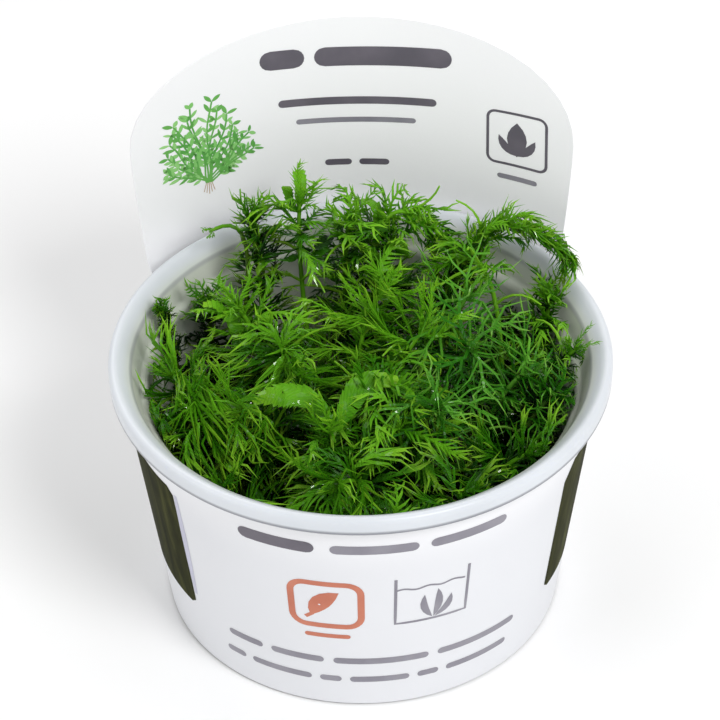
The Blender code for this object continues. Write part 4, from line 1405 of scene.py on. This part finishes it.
def add_runners(heap, route, choice, tint):
    """Thin bare side stems that arch out between the leaves."""
    for _ in range(RUNNERS):
        centre, along = place_on(route, route[1][-1] - choice.uniform(3, 18))
        out = side_of_stem(along, choice.uniform(0, math.tau))
        reach = choice.uniform(6, 13)
        middle = centre + (out + along * choice.uniform(0.3, 1.2)).normalized() * reach * 0.55
        end = middle + (out + Vector((0, 0, choice.uniform(-1.4, 0.4)))).normalized() * reach * 0.5
        curve = [curve_at(centre, middle, end, t) for t in (0, 0.2, 0.4, 0.6, 0.8, 1)]
        spots, faces = tube(curve, [RUNNER_RADIUS * (1 - 0.09 * i) for i in range(6)], 5)
        spots = keep_all_in(spots)
        heap.add(spots, faces, even_tones(spots, tint, 0.9))


def add_bud(heap, route, choice, buds, tint, length):
    """A closed brush of young leaves on the end of a stem."""
    centre, along = place_on(route, route[1][-1] - 0.6)
    for side in range(BUD_LEAVES):
        out = side_of_stem(along, math.tau * side / BUD_LEAVES)
        middle = centre + along * length * 0.5 + out * choice.uniform(0.3, 0.9)
        tip = middle + along * length * 0.5 + out * choice.uniform(-0.4, 1.0)
        place = (0, centre, along.cross(out), middle, tip, choice.uniform(1.3, 1.9))
        add_leaf(heap, choice.choice(buds), place, tint)


def plan_shoots():
    """The route of each stem from the gel to its tip, and its leaves."""
    gel = surface_of(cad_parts["growth_gel"], 1 / MM)
    routes, plans = [], []
    for number, shoot in enumerate(SHOOTS, 1):
        root, bend, tip, length, width, whorls, loose, kind = shoot
        ground = gel.ray_cast(Vector((*root, CUP_HEIGHT)), Vector((0, 0, -1)))[0]
        routes.append(measure(stem_route(ground, bend, tip)))
        leaves = plan_leaves(number, routes[-1], (length, width), whorls, loose)
        plans.append(leaves + fill_in(number, routes[-1], (length, width), whorls, loose, kind))
    return routes, plans


def make_shoots(routes, plans):
    kinds = {kind: [model_leaf(kind, seed) for seed in range(LEAF_KINDS[kind][-1])] for kind in LEAF_KINDS}
    kinds["blade"] = [model_blade(seed, 1, BLADE_ROWS, 0.6) for seed in range(BLADE_COPIES)]
    kinds["broad"] = [model_blade(seed, 2, BROAD_ROWS, 0.66) for seed in range(BLADE_COPIES)]
    kinds["clump"] = kinds["blade"][:1] + kinds["strand"][:3] + kinds["plume"]
    kinds["tuft"] = kinds["blade"][1:2] + kinds["plume"] + kinds["strand"][:2]
    kinds["horn"] = kinds["strand"] + kinds["plume"][:2]
    for number, shoot in enumerate(SHOOTS, 1):
        grow_shoot(number, shoot, routes[number - 1], plans[number - 1], kinds)


# Studio


def add_area_light(name, place, size, power):
    data = bpy.data.lights.new(name, "AREA")
    data.size = size
    data.energy = power
    light = add_object(name, data)
    light.location = place
    light.rotation_euler = (LIT_POINT - Vector(place)).to_track_quat("-Z", "Y").to_euler()


def make_studio():
    scene = bpy.context.scene
    nothing_selected()
    bpy.ops.mesh.primitive_plane_add(size=6, location=(0, 0, 0))
    floor = bpy.context.active_object
    floor.name = "studio_floor"
    floor.data.materials.append(make_floor_material())
    world = bpy.data.worlds.new("soft white room")
    world.use_nodes = True
    world.node_tree.nodes["Background"].inputs["Color"].default_value = (1, 1, 1, 1)
    world.node_tree.nodes["Background"].inputs["Strength"].default_value = 0.62
    scene.world = world
    add_area_light("large soft light", (0.42, -0.58, 0.84), 0.36, 6.0)
    add_area_light("left soft light", (-0.75, -0.35, 0.45), 0.5, 0.9)
    add_area_light("back soft light", (-0.1, 0.6, 0.75), 0.5, 1.5)
    scene.view_settings.view_transform = "Standard"

    data = bpy.data.cameras.new("camera")
    data.lens, data.sensor_width = 168.05, 36
    camera = add_object("camera", data)
    back = Vector((0, -math.cos(CAMERA_ELEVATION), math.sin(CAMERA_ELEVATION)))
    camera.location = CAMERA_TARGET + back * CAMERA_DISTANCE
    level = Euler((math.pi / 2 - CAMERA_ELEVATION, 0, 0)).to_matrix()
    camera.rotation_euler = (level @ Matrix.Rotation(CAMERA_ROLL, 3, "Z")).to_euler()
    scene.camera = camera


GRAIN = make_grain_group()
CUP_PLASTIC = make_cup_plastic()
SLEEVE_CARD = make_sleeve_card()
DARK_INK = make_ink_and_highlight("grey violet ink", (0.105, 0.095, 0.12), (0.14, 0.125, 0.155))
SOFT_INK = make_ink_and_highlight("soft grey ink", (0.22, 0.21, 0.25), (0.28, 0.27, 0.31))
ORANGE_INK = make_ink_and_highlight("orange ink", (0.50, 0.14, 0.075), (0.58, 0.19, 0.11))
# Painted highlight colour for the strip along the left panel's front edge.
LAVENDER_HIGHLIGHT = make_ink_and_highlight("lavender painted highlight", (0.50, 0.50, 0.62), (0.56, 0.56, 0.68))
GREEN_INK = make_ink_and_highlight("leaf green ink", (0.10, 0.36, 0.07), (0.16, 0.46, 0.10))
PALE_GREEN_INK = make_ink_and_highlight("pale green ink", (0.22, 0.56, 0.15), (0.34, 0.66, 0.24))
BROWN_INK = make_ink_and_highlight("pale brown ink", (0.46, 0.32, 0.2), (0.55, 0.4, 0.28))
PANEL_INK = make_panel_ink()
GEL_MATERIAL = make_gel_material()
LEAF_SHADING = make_leaf_group()
LEAF_GREEN = make_leaf_green(
    "wet leaf green", (0.001, 0.014, 0.0003), (0.032, 0.165, 0.002), (0.15, 0.43, 0.014), (0.25, 0.50, 0.025)
)
DILL_GREEN = make_leaf_green(
    "deep wet green", (0.001, 0.012, 0.0004), (0.022, 0.150, 0.004), (0.12, 0.38, 0.032), (0.26, 0.52, 0.07)
)
SPIKE = draw_out(3, [(0, 1.0), (SPIKE_BEND, 0.85), (1.0, 0)])
TOOTH = draw_out(3, [(0, 1.0), (1.0, 0)])
RIB = draw_out(3, [(0, 1.0), (0.25, 0.95), (0.5, 0.85), (0.75, 0.7), (1.0, 0)])

make_studio()
make_cup()
make_prints(make_sleeve())
make_gel()
ROUTES, PLANS = plan_shoots()
SHADE_GRID = count_above(PLANS)
make_shoots(ROUTES, PLANS)
